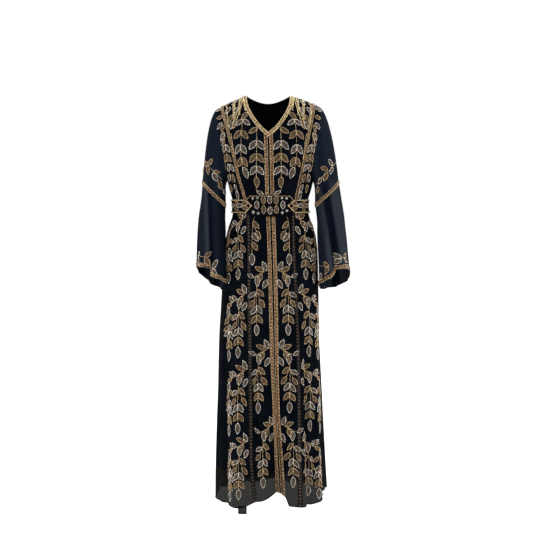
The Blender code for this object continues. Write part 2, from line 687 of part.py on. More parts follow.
def piece(name, grid, low, high, colour, closed=False):
    """Makes a closed wall between two offsets from a grid, as one object. Each cell is split
    along its shorter diagonal, so a piece laid on another keeps its gap."""
    shape = grid.points.shape[:2]
    outer = grid.points + grid.outs * np.broadcast_to(high, shape)[..., None]
    inner = grid.points + grid.outs * np.broadcast_to(low, shape)[..., None]
    index, verts, faces, edges = {}, [], [], {}

    def vertex(corner, side):
        if (corner, side) not in index:
            index[corner, side] = len(verts)
            verts.append(tuple(map(float, (outer, inner)[side][corner])))
        return index[corner, side]

    count = shape[0]
    turned = 0.0
    for c, r in grid.cells(closed):
        corners = [(c, r), (c, r + 1), ((c + 1) % count, r + 1), ((c + 1) % count, r)]
        a, b, d, e = (grid.points[corner] for corner in corners)
        turned += float(np.dot(np.cross(b - e, d - a), grid.outs[corners[0]]))
        if np.linalg.norm(d - a) > np.linalg.norm(e - b):
            corners = corners[1:] + corners[:1]
        for side, order in ((0, 1), (1, -1)):
            p, q, s, t = (vertex(corner, side) for corner in corners)
            faces += [(p, q, s)[::order], (p, s, t)[::order]]
        for k in range(4):
            start, end = corners[k], corners[(k + 1) % 4]
            if edges.pop((end, start), None) is None:
                edges[start, end] = True
    for start, end in edges:
        a, b = vertex(start, 0), vertex(end, 0)
        d, e = vertex(end, 1), vertex(start, 1)
        faces += [(b, a, e), (b, e, d)]
    if turned < 0:
        faces = [face[::-1] for face in faces]
    mesh = bpy.data.meshes.new(name)
    mesh.from_pydata(verts, [], faces)
    mesh.shade_smooth()
    mesh.set_sharp_from_angle(angle=np.radians(50))
    made = bpy.data.objects.new(name, mesh)
    made.data.materials.append(material(*colour))
    bpy.context.scene.collection.objects.link(made)


def material(name, colour, roughness, metallic):
    made = bpy.data.materials.get(name) or bpy.data.materials.new(name)
    made.use_nodes = True
    shader = made.node_tree.nodes["Principled BSDF"]
    shader.inputs["Base Color"].default_value = (*colour, 1)
    shader.inputs["Roughness"].default_value = roughness
    shader.inputs["Metallic"].default_value = metallic
    return made


BLACK_CLOTH = ("black georgette", (0.010, 0.013, 0.020), 0.8, 0.0)
GOLD_TRIM = ("gold beaded trim", (0.42, 0.27, 0.11), 0.35, 0.7)
BELT_CLOTH = ("jewelled belt", (0.30, 0.20, 0.10), 0.4, 0.5)


def cloth(name, grid, closed=False):
    piece(name, grid, 0, CLOTH, BLACK_CLOTH, closed)


def cloth_panel(part, side, grid, gore_column=None):
    """A panel of the bodice and the skirt below it, which may have a gore beside it."""
    bodice, skirt = cut_at_waist(grid)
    cloth(f"bodice_{part}_{side}", bodice)
    if gore_column is not None:
        skirt, gore = cut_along(skirt, gore_column)
        cloth(f"{part}_gore_{side}", gore)
    cloth(f"skirt_{part}_{side}", skirt)


def trim(name, grid, closed=False):
    low = CLOTH + TRIM_GAP
    piece(name, grid, low, low + TRIM_THICK, GOLD_TRIM, closed)


def middle(grid_a, column_a, grid_b, column_b):
    """The column halfway between two that meet at a seam."""
    points = (grid_a.points[column_a] + grid_b.points[column_b]) / 2
    return points, unit(grid_a.outs[column_a] + grid_b.outs[column_b])


def stacked(columns):
    return Grid(np.stack([p for p, _ in columns]), np.stack([o for _, o in columns]))


def single(grid, c):
    return grid.points[c], grid.outs[c]


def neckband(centres, backs):
    """The trim round the neckline, from one side of the V round the back to the other."""
    front_count = centres["left"].neck_columns
    back_count = backs["left"].neck_columns

    def half(side):
        front, back = centres[side], backs[side]
        columns = [single(front, c) for c in range(front_count - 1)]
        columns.append(middle(front, front_count - 1, back, back_count - 1))
        columns += [single(back, c) for c in range(back_count - 2, 0, -1)]
        return columns

    top = middle(backs["right"], 0, backs["left"], 0)
    ring = stacked(half("right") + [top] + half("left")[::-1])
    trim("neckband", Grid(ring.points[:, :2], ring.outs[:, :2]))


def placket_trim(side, centre):
    """A trim beside the front opening, from the neckband down to the hem."""
    points, outs = centre.points[1:3, 1:].copy(), centre.outs[1:3, 1:]
    fall = points[:, 1] - points[:, 0]
    points[:, 0] += unit(fall) * SEAM_GAP * 2
    trim(f"placket_{side}", Grid(points, outs))


def seam_trim(side, centre, outer):
    """A trim over the front seam, from the shoulder down to the hem."""
    last = len(centre.points) - 1
    columns = [single(centre, last - 1), middle(centre, last, outer, 0), single(outer, 1)]
    grid = stacked(columns)
    trim(f"princess_{side}", Grid(grid.points[:, 1:], grid.outs[:, 1:]))


def sleeve(side, front, back):
    upper, lower = upper_sleeve(side, front, back), lower_sleeve(side)
    cloth(f"sleeve_upper_{side}", upper, True)
    cloth(f"sleeve_lower_{side}", lower, True)
    points = [upper.points[:, -2], (upper.points[:, -1] + lower.points[:, 0]) / 2, lower.points[:, 1]]
    outs = [upper.outs[:, -2], upper.outs[:, -1], lower.outs[:, 1]]
    trim(f"elbow_band_{side}", Grid(np.stack(points, 1), np.stack(outs, 1)), True)
    trim(f"cuff_band_{side}", Grid(lower.points[:, -3:-1], lower.outs[:, -3:-1]), True)


def main():
    for old in list(bpy.data.objects):
        bpy.data.objects.remove(old)
    centres = {side: front_centre(side) for side in SIDES}
    sides = {side: front_side(side) for side in SIDES}
    backs = {side: back_half(side) for side in SIDES}
    for side in SIDES:
        cloth_panel("centre", side, centres[side])
        cloth_panel("side", side, sides[side], SIDE_GORE_COLUMN)
        cloth_panel("back", side, backs[side], BACK_GORE_COLUMN)
        placket_trim(side, centres[side])
        seam_trim(side, centres[side], sides[side])
        sleeve(side, sides[side], backs[side])
        belt_strap(side)
    neckband(centres, backs)
    belt_centre()
    belt_back()


main()
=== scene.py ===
"""The looks of a floor-length beaded kaftan dress: cloth, trims, beads, stones, light and camera.

Metres. +Z is up, the front faces -Y and +X is the viewer's right. The cloth follows the same
tables and formulas as the solids, with finer rows and columns and with creases added.
"""

from collections import namedtuple

import bpy
import numpy as np
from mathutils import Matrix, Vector


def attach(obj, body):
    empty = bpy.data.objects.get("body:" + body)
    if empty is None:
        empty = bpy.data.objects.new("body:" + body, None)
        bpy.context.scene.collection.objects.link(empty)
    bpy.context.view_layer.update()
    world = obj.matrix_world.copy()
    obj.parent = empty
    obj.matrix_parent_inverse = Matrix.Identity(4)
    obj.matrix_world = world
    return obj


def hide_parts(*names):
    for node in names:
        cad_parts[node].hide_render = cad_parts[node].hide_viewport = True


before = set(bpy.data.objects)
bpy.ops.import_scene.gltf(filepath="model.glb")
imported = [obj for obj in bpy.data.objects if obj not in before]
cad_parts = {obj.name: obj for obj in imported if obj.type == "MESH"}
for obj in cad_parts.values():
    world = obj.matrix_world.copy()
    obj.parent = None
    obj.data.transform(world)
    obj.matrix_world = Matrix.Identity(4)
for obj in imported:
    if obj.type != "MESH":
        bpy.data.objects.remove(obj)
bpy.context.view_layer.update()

# Camera, light and floor
CAMERA_AT = (-0.006, -3.2, -0.35)
CAMERA_AIM = (-0.006, 0.0, -0.573)
CAMERA_ANGLE = 31.6  # degrees across the square picture
FLOOR_Z = -1.52
FLOOR_SIZE = 60.0
THREADS = 420.0  # threads to a metre in the cloth's grain
PEBBLES = 700.0
STITCHES = 500.0
MOTTLE_STOPS = (0.35, 0.68)  # where a mottled colour is darkest and lightest
SHEER_Z = -1.252  # where the skirt's lining ends
SHEER_BELOW, SHEER_ABOVE = 0.008, 0.004  # how far its edge fades out below and above
SHEEN_FADE = 0.05  # height above the elbow over which a sleeve's painted bands of light and shade fade

# Cloth and trim
CLOTH = 0.002  # height of the cloth's outer face above the points that the tables give
SHELL = 0.0006  # thickness of the thin cloth
SEAM_GAP = 0.00002
ARMHOLE_GAP = 0.0006
ELBOW_GAP = 0.0006
TRIM_WIDTH = 0.012
PLACKET_INSET = 0.0025
NECK_TRIM_WIDTH = 0.013
RIBBON_LOW = CLOTH + 0.0001
RIBBON_HIGH = CLOTH + 0.0008
SHARP_ANGLE = 60  # degrees between faces that meet at a sharp edge

# Heights
NECK_HALF_WIDTH = 0.072
NECK_DEPTH = 0.126
BACK_NECK_DEPTH = 0.018
ARMPIT_Z = -0.285
BELT_LOW_Z = -0.395
HEM_Z = -1.357
SHOULDER_SLOPE_LEFT = 0.33
SHOULDER_SLOPE_RIGHT = 0.25
SHOULDER_CURVE = 1.2
SHOULDER_ROUND = 0.09
SHOULDER_STEPS = 40  # rounds that settle where a line meets the shoulder

# Rows and columns of the panels
FINER = 3  # columns here for each column of the solids
TOP_ROWS = 24
WAIST_ROWS_Z = tuple(np.linspace(-0.295, BELT_LOW_Z, 11))
SKIRT_ROWS = 100
CENTRE_COLUMNS = 8 * FINER
SIDE_COLUMNS = 24
BACK_COLUMNS = 12 * FINER
NECK_EASE = 0.07
UPPER_SLEEVE_ROWS = 26
LOWER_SLEEVE_ROWS = 40
LEAF_WIDTH = 0.47  # of a leaf's length


def table_of(kind, *values):
    """A table of named tuples, one for each set of values."""
    return tuple(kind(*row) for row in values)


def unit(vectors):
    return vectors / np.linalg.norm(vectors, axis=-1, keepdims=True)


def finer(steps):
    """The solids' columns along a neckline, with more of them in between."""
    at = np.arange((len(steps) - 1) * FINER + 1) / FINER
    return np.interp(at, np.arange(len(steps)), steps)


FRONT_NECK_COLUMNS_X = finer(
    (PLACKET_INSET + TRIM_WIDTH, 0.032, 0.054, 0.0655, 0.0705, NECK_HALF_WIDTH)
)[1:]
BACK_NECK_COLUMNS_X = finer((SEAM_GAP / 2, 0.020, 0.040, 0.056, 0.066, NECK_HALF_WIDTH))

# Small creases: where each is deepest, its width in degrees and length in metres, how far it
# stands out, and how many degrees it leans over for each metre down
Crease = namedtuple("Crease", "angle z width length out lean")
BODY_CREASES = table_of(
    Crease,
    (-62, -0.3, 4, 0.055, -0.003, -60), (-50, -0.29, 3, 0.04, 0.002, -40),
    (-71, -0.27, 4, 0.06, 0.0024, -120), (-82, -0.25, 4, 0.05, -0.003, -150),
    (-28, -0.305, 3, 0.035, -0.0016, -10), (-14, -0.3, 3, 0.03, 0.0014, 5),
    (19, -0.3, 3, 0.03, -0.0014, 20), (31, -0.292, 3, 0.042, 0.0018, 10),
    (52, -0.296, 4, 0.046, -0.0026, 50), (66, -0.288, 4, 0.055, 0.0024, 90),
    (79, -0.262, 4, 0.052, -0.003, 130), (96, -0.29, 4, 0.06, 0.003, 20),
    (112, -0.3, 5, 0.05, -0.0028, 30), (131, -0.29, 4, 0.065, 0.003, 10),
    (148, -0.302, 5, 0.045, -0.0026, 15), (166, -0.288, 4, 0.06, 0.0026, -5),
    (-178, -0.3, 5, 0.05, -0.0028, 5), (-160, -0.286, 4, 0.06, 0.0026, -10),
    (-140, -0.302, 5, 0.046, -0.0028, -20), (-121, -0.29, 4, 0.06, 0.003, -15),
    (-104, -0.298, 4, 0.05, -0.0026, -30), (-70, -0.45, 4, 0.06, -0.0028, -30),
    (-45, -0.445, 3, 0.05, 0.002, -12), (-24, -0.44, 3, 0.045, -0.0018, -8),
    (16, -0.44, 3, 0.045, 0.0018, 6), (48, -0.45, 3, 0.055, -0.0022, 15),
    (70, -0.455, 4, 0.06, 0.0026, 25), (110, -0.45, 4, 0.07, -0.003, 15),
    (146, -0.46, 4, 0.06, 0.003, 8), (-158, -0.45, 4, 0.07, -0.003, -6),
    (-122, -0.46, 4, 0.06, 0.0028, -15), (-64, -0.86, 3, 0.16, 0.003, -4),
    (-60, -1.12, 3, 0.13, -0.003, 3), (-84, -0.98, 4, 0.18, -0.0034, 4),
    (-28, -0.98, 3, 0.14, -0.0026, 3), (-9, -1.14, 3, 0.12, 0.003, 6),
    (-4, -0.76, 3, 0.11, -0.0024, 4), (22, -1.18, 3, 0.12, -0.003, 2),
    (28, -0.9, 3, 0.14, 0.0022, 3), (49, -0.76, 3, 0.13, 0.0026, 4),
    (52, -1.18, 3, 0.13, -0.0032, -3), (70, -1.02, 4, 0.17, 0.0034, 2),
    (90, -0.85, 4, 0.15, -0.0032, -3), (109, -1.08, 4, 0.16, 0.0036, 3),
    (127, -0.86, 4, 0.14, 0.0034, -2), (146, -1.1, 4, 0.15, -0.0036, 2),
    (163, -0.82, 4, 0.16, 0.0032, 3), (-176, -1.09, 4, 0.15, -0.0034, -3),
    (-158, -0.86, 4, 0.15, 0.0034, 2), (-140, -1.11, 4, 0.16, -0.0036, -2),
    (-121, -0.84, 4, 0.14, 0.0032, -3), (-103, -1.07, 4, 0.16, 0.0034, 3),
)
UPPER_SLEEVE_CREASES = table_of(
    Crease,
    (150, -0.255, 22, 0.022, 0.004, 200), (165, -0.285, 24, 0.016, -0.004, 260),
    (120, -0.215, 18, 0.03, -0.003, -180), (95, -0.165, 16, 0.045, 0.0026, -90),
    (60, -0.15, 14, 0.05, -0.0024, -60), (36, -0.225, 14, 0.045, 0.0022, 40),
    (205, -0.265, 22, 0.02, 0.004, -220), (230, -0.225, 18, 0.03, -0.0034, -160),
    (262, -0.18, 16, 0.045, 0.003, 80), (300, -0.22, 15, 0.045, -0.0026, 60),
    (338, -0.17, 14, 0.05, 0.0022, -30),
)
SLEEVE_CREASES = table_of(
    Crease,
    (44, -0.43, 7, 0.075, -0.0034, 20), (76, -0.5, 7, 0.08, 0.0034, -30),
    (10, -0.47, 8, 0.08, 0.003, 10), (104, -0.415, 7, 0.06, 0.003, 30),
    (126, -0.5, 7, 0.07, -0.0034, 10), (160, -0.44, 8, 0.08, 0.004, 20),
    (196, -0.5, 9, 0.08, -0.004, -20), (220, -0.42, 8, 0.07, 0.0036, 10),
    (248, -0.52, 8, 0.07, -0.0036, -10), (276, -0.43, 8, 0.08, 0.0036, 20),
    (306, -0.51, 8, 0.08, 0.0034, 10), (342, -0.43, 8, 0.07, -0.0034, -20),
)

Section = namedtuple("Section", "z half_width front_depth back_depth centre_x")
SECTIONS = table_of(
    Section,
    (0.030, 0.186, 0.080, 0.088, 0.000),
    (-0.050, 0.189, 0.100, 0.098, 0.000),
    (-0.100, 0.188, 0.114, 0.104, 0.000),
    (-0.160, 0.178, 0.125, 0.106, 0.001),
    (-0.210, 0.164, 0.128, 0.104, 0.002),
    (-0.260, 0.149, 0.121, 0.098, 0.004),
    (-0.303, 0.138, 0.109, 0.092, 0.006),
    (-0.367, 0.124, 0.096, 0.086, 0.007),
    (-0.400, 0.128, 0.098, 0.090, 0.0085),
    (-0.439, 0.142, 0.107, 0.103, 0.009),
    (-0.520, 0.158, 0.120, 0.124, 0.0075),
    (-0.680, 0.164, 0.130, 0.132, 0.006),
    (-0.830, 0.170, 0.136, 0.137, 0.003),
    (-1.030, 0.176, 0.143, 0.143, 0.004),
    (-1.230, 0.181, 0.149, 0.148, 0.006),
    (-1.360, 0.185, 0.152, 0.150, 0.009),
)

# The three seams that run down the front: centre x at each height
Seam = namedtuple("Seam", "z left placket right")
SEAMS = table_of(
    Seam,
    (0.030, -0.160, 0.000, 0.156),
    (-0.033, -0.154, 0.000, 0.151),
    (-0.095, -0.138, 0.000, 0.139),
    (-0.153, -0.123, 0.001, 0.127),
    (-0.205, -0.111, 0.002, 0.118),
    (-0.262, -0.099, 0.003, 0.107),
    (-0.334, -0.078, 0.005, 0.092),
    (-0.400, -0.066, 0.008, 0.081),
    (-0.520, -0.063, 0.012, 0.083),
    (-0.660, -0.062, 0.016, 0.090),
    (-0.860, -0.060, 0.020, 0.095),
    (-1.030, -0.059, 0.028, 0.096),
    (-1.200, -0.058, 0.040, 0.097),
    (-1.350, -0.046, 0.049, 0.100),
)

# The front neckline, from the point of the V up to the neck point
Neck = namedtuple("Neck", "x z")
FRONT_NECK = table_of(
    Neck,
    (0.000, -NECK_DEPTH),
    (0.016, -0.113),
    (0.037, -0.088),
    (0.056, -0.058),
    (0.068, -0.028),
    (NECK_HALF_WIDTH, 0.000),
)

# The armhole edge, as a share of the section's half width
Armhole = namedtuple("Armhole", "z share")
ARMHOLE = table_of(
    Armhole,
    (-0.030, 0.915),
    (-0.045, 0.910),
    (-0.100, 0.875),
    (-0.160, 0.868),
    (-0.220, 0.890),
    (-0.262, 0.945),
    (ARMPIT_Z, 1.000),
)

# Folds of the skirt: ridges stand out and creases go in, from a start height down to the hem
Fold = namedtuple("Fold", "angle spread out start sway")
SKIRT_FOLDS = table_of(
    Fold,
    (-34, 20, 0.020, -0.50, 2),
    (6, 16, -0.046, -0.62, 4),
    (33, 13, 0.018, -0.55, 2),
    (-18, 7, -0.012, -0.41, 1),
    (41, 7, -0.013, -0.41, 3),
    (-54, 7, -0.010, -0.60, -3),
    (60, 9, 0.012, -0.70, 2),
    (79, 8, -0.012, -0.74, 2),
    (-77, 9, 0.008, -0.78, -2),
    (101, 9, 0.014, -0.66, -3),
    (118, 8, -0.016, -0.47, 2),
    (136, 10, 0.018, -0.52, 3),
    (155, 9, -0.020, -0.44, -2),
    (173, 10, 0.020, -0.50, 2),
    (-168, 9, -0.018, -0.43, 3),
    (-149, 10, 0.022, -0.55, -2),
    (-130, 8, -0.018, -0.46, -3),
    (-112, 9, 0.014, -0.60, 2),
    (-96, 7, -0.008, -0.80, 0),
)

# How far the hem hangs above or below its mean height, round the skirt
HemDrop = namedtuple("HemDrop", "angle rise")
HEM_DROPS = table_of(
    HemDrop,
    (-180, 0.004),
    (-140, -0.006),
    (-95, 0.004),
    (-67, -0.009),
    (-36, -0.008),
    (-14, 0.014),
    (2, 0.027),
    (10, 0.036),
    (16, 0.032),
    (20, -0.002),
    (38, -0.005),
    (50, -0.008),
    (69, 0.006),
    (92, 0.014),
    (140, -0.004),
    (180, 0.004),
)

# Sleeves: a row for each level, the right sleeve standing out a little further
Ring = namedtuple("Ring", "z left_x left_half right_x right_half centre_y half_depth")
SLEEVE_RINGS = table_of(
    Ring,
    (-0.270, 0.179, 0.041, 0.190, 0.044, 0.004, 0.064),
    (-0.326, 0.183, 0.040, 0.199, 0.044, 0.000, 0.070),
    (-0.420, 0.190, 0.043, 0.211, 0.044, -0.008, 0.078),
    (-0.500, 0.189, 0.048, 0.214, 0.049, -0.016, 0.088),
    (-0.580, 0.189, 0.052, 0.220, 0.052, -0.024, 0.098),
    (-0.670, 0.189, 0.055, 0.224, 0.055, -0.030, 0.104),
)
ELBOW_Z = -0.326  # mean height of the seam round the elbow
ELBOW_SLANT = 0.040  # how much that seam is higher outside and lower inside
ELBOW_BAND_HALF = 0.007
CUFF_BAND_WIDTH = 0.013
CUFF_BAND_LIFT = 0.004  # from the sleeve's hem up to the band
SLEEVE_FOLD_LOW_Z = -0.60
SLEEVE_CLEARANCE = 0.008  # between the inner faces of the sleeve and the skirt
SLEEVE_SOFTNESS = 0.03
SLEEVE_ROUND_HEIGHT = 0.10  # height over which the armhole seam turns under the arm
SLEEVE_LEAVING = (0.16, 0.24, 0.20)  # how strongly it leaves the armhole: off the seam, away, down
SLEEVE_ARRIVING = (0.95, 0.10)  # how strongly it comes to the elbow: down, away

# Folds of a sleeve. Angle 0 is its outer side, 90 its front and 180 the side by the body.
SLEEVE_FOLDS = table_of(
    Fold,
    (24, 14, -0.005, -0.38, 0),
    (60, 20, 0.007, -0.30, 0),
    (91, 13, -0.012, -0.28, 0),
    (115, 13, 0.006, -0.32, 0),
    (140, 14, -0.007, -0.30, 0),
    (232, 18, -0.010, -0.33, 0),
    (262, 20, 0.010, -0.30, 0),
    (292, 16, -0.009, -0.36, 0),
    (322, 17, 0.007, -0.42, 0),
)

# Height of a sleeve's hem round its opening, lifted in front where the hand comes out
SleeveHem = namedtuple("SleeveHem", "angle left right")
SLEEVE_HEM = table_of(
    SleeveHem,
    (0, -0.574, -0.603),
    (20, -0.571, -0.580),
    (60, -0.570, -0.575),
    (82, -0.572, -0.578),
    (94, -0.600, -0.584),
    (106, -0.606, -0.606),
    (140, -0.620, -0.622),
    (180, -0.640, -0.640),
    (235, -0.656, -0.655),
    (280, -0.640, -0.650),
    (325, -0.596, -0.625),
    (360, -0.574, -0.603),
)


def smooth_curve(rows, key, value):
    """A function that runs smoothly through the named columns of a table."""
    order = sorted(rows, key=lambda row: getattr(row, key))
    keys = np.array([getattr(row, key) for row in order], float)
    values = np.array([getattr(row, value) for row in order], float)
    steps = np.diff(values) / np.diff(keys)
    before, after = steps[:-1], steps[1:]
    turns = before * after <= 0
    mean = 2 * before * after / np.where(turns, 1, before + after)
    slopes = np.concatenate([steps[:1], np.where(turns, 0, mean), steps[-1:]])

    def at(where):
        where = np.clip(where, keys[0], keys[-1])
        span = np.clip(np.searchsorted(keys, where) - 1, 0, len(keys) - 2)
        width = keys[span + 1] - keys[span]
        t = (where - keys[span]) / width
        rise = values[span] * (1 + 2 * t) * (1 - t) ** 2 + values[span + 1] * t * t * (3 - 2 * t)
        return rise + width * t * (1 - t) * (slopes[span] * (1 - t) - slopes[span + 1] * t)

    return at


half_width = smooth_curve(SECTIONS, "z", "half_width")
front_depth = smooth_curve(SECTIONS, "z", "front_depth")
back_depth = smooth_curve(SECTIONS, "z", "back_depth")
centre_x = smooth_curve(SECTIONS, "z", "centre_x")
seam_x = {name: smooth_curve(SEAMS, "z", name) for name in ("left", "placket", "right")}
front_neck_z = smooth_curve(FRONT_NECK, "x", "z")
armhole_share = smooth_curve(ARMHOLE, "z", "share")
hem_rise = smooth_curve(HEM_DROPS, "angle", "rise")
ring_centre_y = smooth_curve(SLEEVE_RINGS, "z", "centre_y")
ring_half_depth = smooth_curve(SLEEVE_RINGS, "z", "half_depth")
ring_centre_x = {side: smooth_curve(SLEEVE_RINGS, "z", f"{side}_x") for side in ("left", "right")}
ring_half_width = {side: smooth_curve(SLEEVE_RINGS, "z", f"{side}_half") for side in ("left", "right")}
sleeve_hem_z = {side: smooth_curve(SLEEVE_HEM, "angle", side) for side in ("left", "right")}
SIDES = {"left": -1, "right": 1}


def ease(t):
    """0 to 1 with a soft start and end."""
    t = np.clip(t, 0, 1)
    return t * t * (3 - 2 * t)


def fold_out(folds, degrees, z, low_z):
    """How far the folds push the cloth out at an angle and height."""
    total = np.zeros(np.broadcast(degrees, z).shape)
    for fold in folds:
        grown = ease((fold.start - z) / (fold.start - low_z))
        off = (degrees - fold.angle - fold.sway * (1 - grown) + 180) % 360 - 180
        total = total + fold.out * grown * np.cos(np.clip(off / fold.spread, -1, 1) * np.pi / 2) ** 2
    return total


def crease_out(creases, degrees, z):
    """How far the small creases push the cloth out at an angle and height."""
    total = np.zeros(np.broadcast(degrees, z).shape)
    for crease in creases:
        below = crease.z - z
        off = (degrees - crease.angle - crease.lean * below + 180) % 360 - 180
        along = np.exp(-((below / crease.length) ** 2))
        total = total + crease.out * along * np.exp(-((off / crease.width) ** 2))
    return total


def shoulder_z(x):
    """Height of the shoulder line, which drops away from the neck point."""
    beyond = np.abs(x) - NECK_HALF_WIDTH
    side = ease(x / (2 * NECK_HALF_WIDTH) + 0.5)
    slope = SHOULDER_SLOPE_LEFT + (SHOULDER_SLOPE_RIGHT - SHOULDER_SLOPE_LEFT) * side
    return -slope * beyond - SHOULDER_CURVE * np.maximum(beyond, 0) ** 2


def shoulder_slope(x):
    step = 0.001
    return (shoulder_z(x + step) - shoulder_z(x - step)) / (2 * step)


def section_xy(theta, z):
    """The horizontal section of the body at a height, with its folds and not the shoulders."""
    wide, deep = half_width(z), np.where(np.cos(theta) >= 0, front_depth(z), back_depth(z))
    out_x, out_y = np.sin(theta) / wide, -np.cos(theta) / deep
    length = np.hypot(out_x, out_y)
    degrees = np.degrees(theta)
    out = fold_out(SKIRT_FOLDS, degrees, z, HEM_Z) + crease_out(BODY_CREASES, degrees, z)
    x = centre_x(z) + wide * np.sin(theta) + out * out_x / length
    return x, -deep * np.cos(theta) + out * out_y / length


def body(theta, z):
    """Points of the body's outer face and the directions out of it. Theta 0 is the middle of
    the front and grows towards the viewer's right."""
    theta, z = np.broadcast_arrays(np.asarray(theta, float), np.asarray(z, float))
    x, y = section_xy(theta, z)
    step = 0.01
    x_ahead, y_ahead = section_xy(theta + step, z)
    x_behind, y_behind = section_xy(theta - step, z)
    flat = unit(np.stack([y_ahead - y_behind, x_behind - x_ahead, np.zeros_like(x)], -1))
    below = np.clip((shoulder_z(x) - z) / SHOULDER_ROUND, 0, 1)
    upright = np.sqrt(1 - (1 - below) ** 2)
    up = unit(np.stack([-shoulder_slope(x), np.zeros_like(x), np.ones_like(x)], -1))
    out = unit(flat * upright[..., None] + up * (1 - below)[..., None])
    behind = np.where(np.cos(theta) >= 0, -SEAM_GAP / 2, SEAM_GAP / 2)  # the shoulder seam
    return np.stack([x, y * upright + behind, z], -1), out


def theta_of_x(x, z):
    """The front angle whose smooth section stands at x."""
    return np.arcsin(np.clip((x - centre_x(z)) / half_width(z), -1, 1))


def metres_per_radian(theta, z):
    deep = np.where(np.cos(theta) >= 0, front_depth(z), back_depth(z))
    return np.hypot(half_width(z) * np.cos(theta), deep * np.sin(theta))


def armhole_line(sign, front):
    """The edge of a panel by the arm: the armhole, and below it the side seam."""
    def at(z):
        theta = np.where(z >= ARMPIT_Z, np.arcsin(np.clip(armhole_share(z), 0, 1)), np.pi / 2)
        return sign * (theta if front else np.pi - theta)

    return at


def front_line(name):
    """The angle of a front seam as a function of height."""
    return lambda z: theta_of_x(seam_x[name](z), z)


def between(line_a, line_b, share):
    return lambda z: line_a(z) + (line_b(z) - line_a(z)) * share


def moved(line, metres):
    """A line beside another, a fixed width away along the cloth."""
    return lambda z: line(z) + metres / metres_per_radian(line(z), z)


def shoulder_top(line):
    """The height where a line of the body meets the shoulder line."""
    z = 0.0
    for _ in range(SHOULDER_STEPS):
        z = 0.5 * z + 0.5 * float(shoulder_z(section_xy(line(z), z)[0]))
    return z


def row_shares(below_shoulder, edge):
    """Where the rows between a column's top and the armpit lie, as shares of the way down.
    They are close together where the shoulder rounds over, and at both ends by the armhole."""
    t = np.arange(TOP_ROWS + 1) / TOP_ROWS
    rounding = 1 - np.clip(below_shoulder / SHOULDER_ROUND, 0, 1)
    even = (1 - rounding) * t + rounding * (1 - np.cos(t * np.pi / 2))
    return (1 - edge) * even + edge * (1 - np.cos(t * np.pi)) / 2


def column(line, top, first, start=None, edge=0.0):
    """One column of the body, as angles and heights from its top down to the hem. first is
    the (angle, height) of the row above the top. Where it starts at another angle than its
    line's, it swings over to the line."""
    start = float(line(top)) if start is None else start
    below = float(shoulder_z(section_xy(np.float64(start), top)[0])) - top
    z = top + (ARMPIT_Z - top) * row_shares(max(below, 0), edge)
    swing = 1 - np.sin(np.clip((top - z) / NECK_EASE, 0, 1) * np.pi / 2)
    theta = line(z) + (start - float(line(top))) * swing
    foot_angle = (np.degrees(float(line(HEM_Z))) + 180) % 360 - 180
    foot_z = HEM_Z + float(hem_rise(foot_angle))
    share = np.arange(1, SKIRT_ROWS + 1) / SKIRT_ROWS
    low_z = np.concatenate([WAIST_ROWS_Z, BELT_LOW_Z + (foot_z - BELT_LOW_Z) * share])
    return np.concatenate([[first[0]], theta, line(low_z)]), np.concatenate([[first[1]], z, low_z])


def shoulder_column(line, edge=0.0):
    """A column that begins on the shoulder seam. Its first row only holds a place."""
    top = shoulder_top(line)
    return column(line, top, (float(line(top)), top), edge=edge)


def neck_z(x, front):
    """Height of the neckline at a distance from the middle."""
    if front:
        return float(front_neck_z(x))
    return -BACK_NECK_DEPTH * np.cos(x / NECK_HALF_WIDTH * np.pi / 2)


def neck_column(line, x, sign, front, upright=False):
    """A column that begins on the neckline at x from the middle, crosses the neck trim and
    runs down to the hem. It crosses the trim upright, or else square to the neckline."""
    def angle(at_x, z):
        theta = float(theta_of_x(sign * at_x, z))
        return theta if front else sign * np.pi - theta

    step = 0.001
    behind = max(x - step, 0)
    slope = (neck_z(behind + step, front) - neck_z(behind, front)) / step
    length = np.hypot(1, slope)
    far_x = x + NECK_TRIM_WIDTH * slope / length
    far_z = neck_z(x, front) - NECK_TRIM_WIDTH / length
    if upright:
        far_x, far_z = x, neck_z(x, front) - NECK_TRIM_WIDTH * length
    if x >= NECK_HALF_WIDTH:
        far_x = x + NECK_TRIM_WIDTH
        far_z = float(shoulder_z(far_x))
    near = (angle(x, neck_z(x, front)), neck_z(x, front))
    return column(line, far_z, near, start=angle(far_x, far_z))


class Grid:
    """Points in columns and rows, and the direction out of the cloth at each of them. In a
    body panel, neck_columns says how many columns begin on the neckline."""

    def __init__(self, points, outs, neck_columns=None):
        self.points, self.outs, self.neck_columns = points, outs, neck_columns

    def cells(self, closed):
        """The cells that cloth fills. A body panel's first row is there only at the neck."""
        count, rows = self.points.shape[:2]
        across = range(count if closed else count - 1)
        neck = count if self.neck_columns is None else self.neck_columns
        return [(c, r) for c in across for r in range(rows - 1) if r > 0 or closed or c < neck - 1]


def stacked(lines, neck_columns=None, axis=0):
    """A grid of lines, each with its points and its directions out of the cloth."""
    points, outs = (np.stack(part, axis) for part in zip(*lines))
    return Grid(points, outs, neck_columns)


def panel(columns, neck_columns):
    return stacked([body(theta, z) for theta, z in columns], neck_columns)


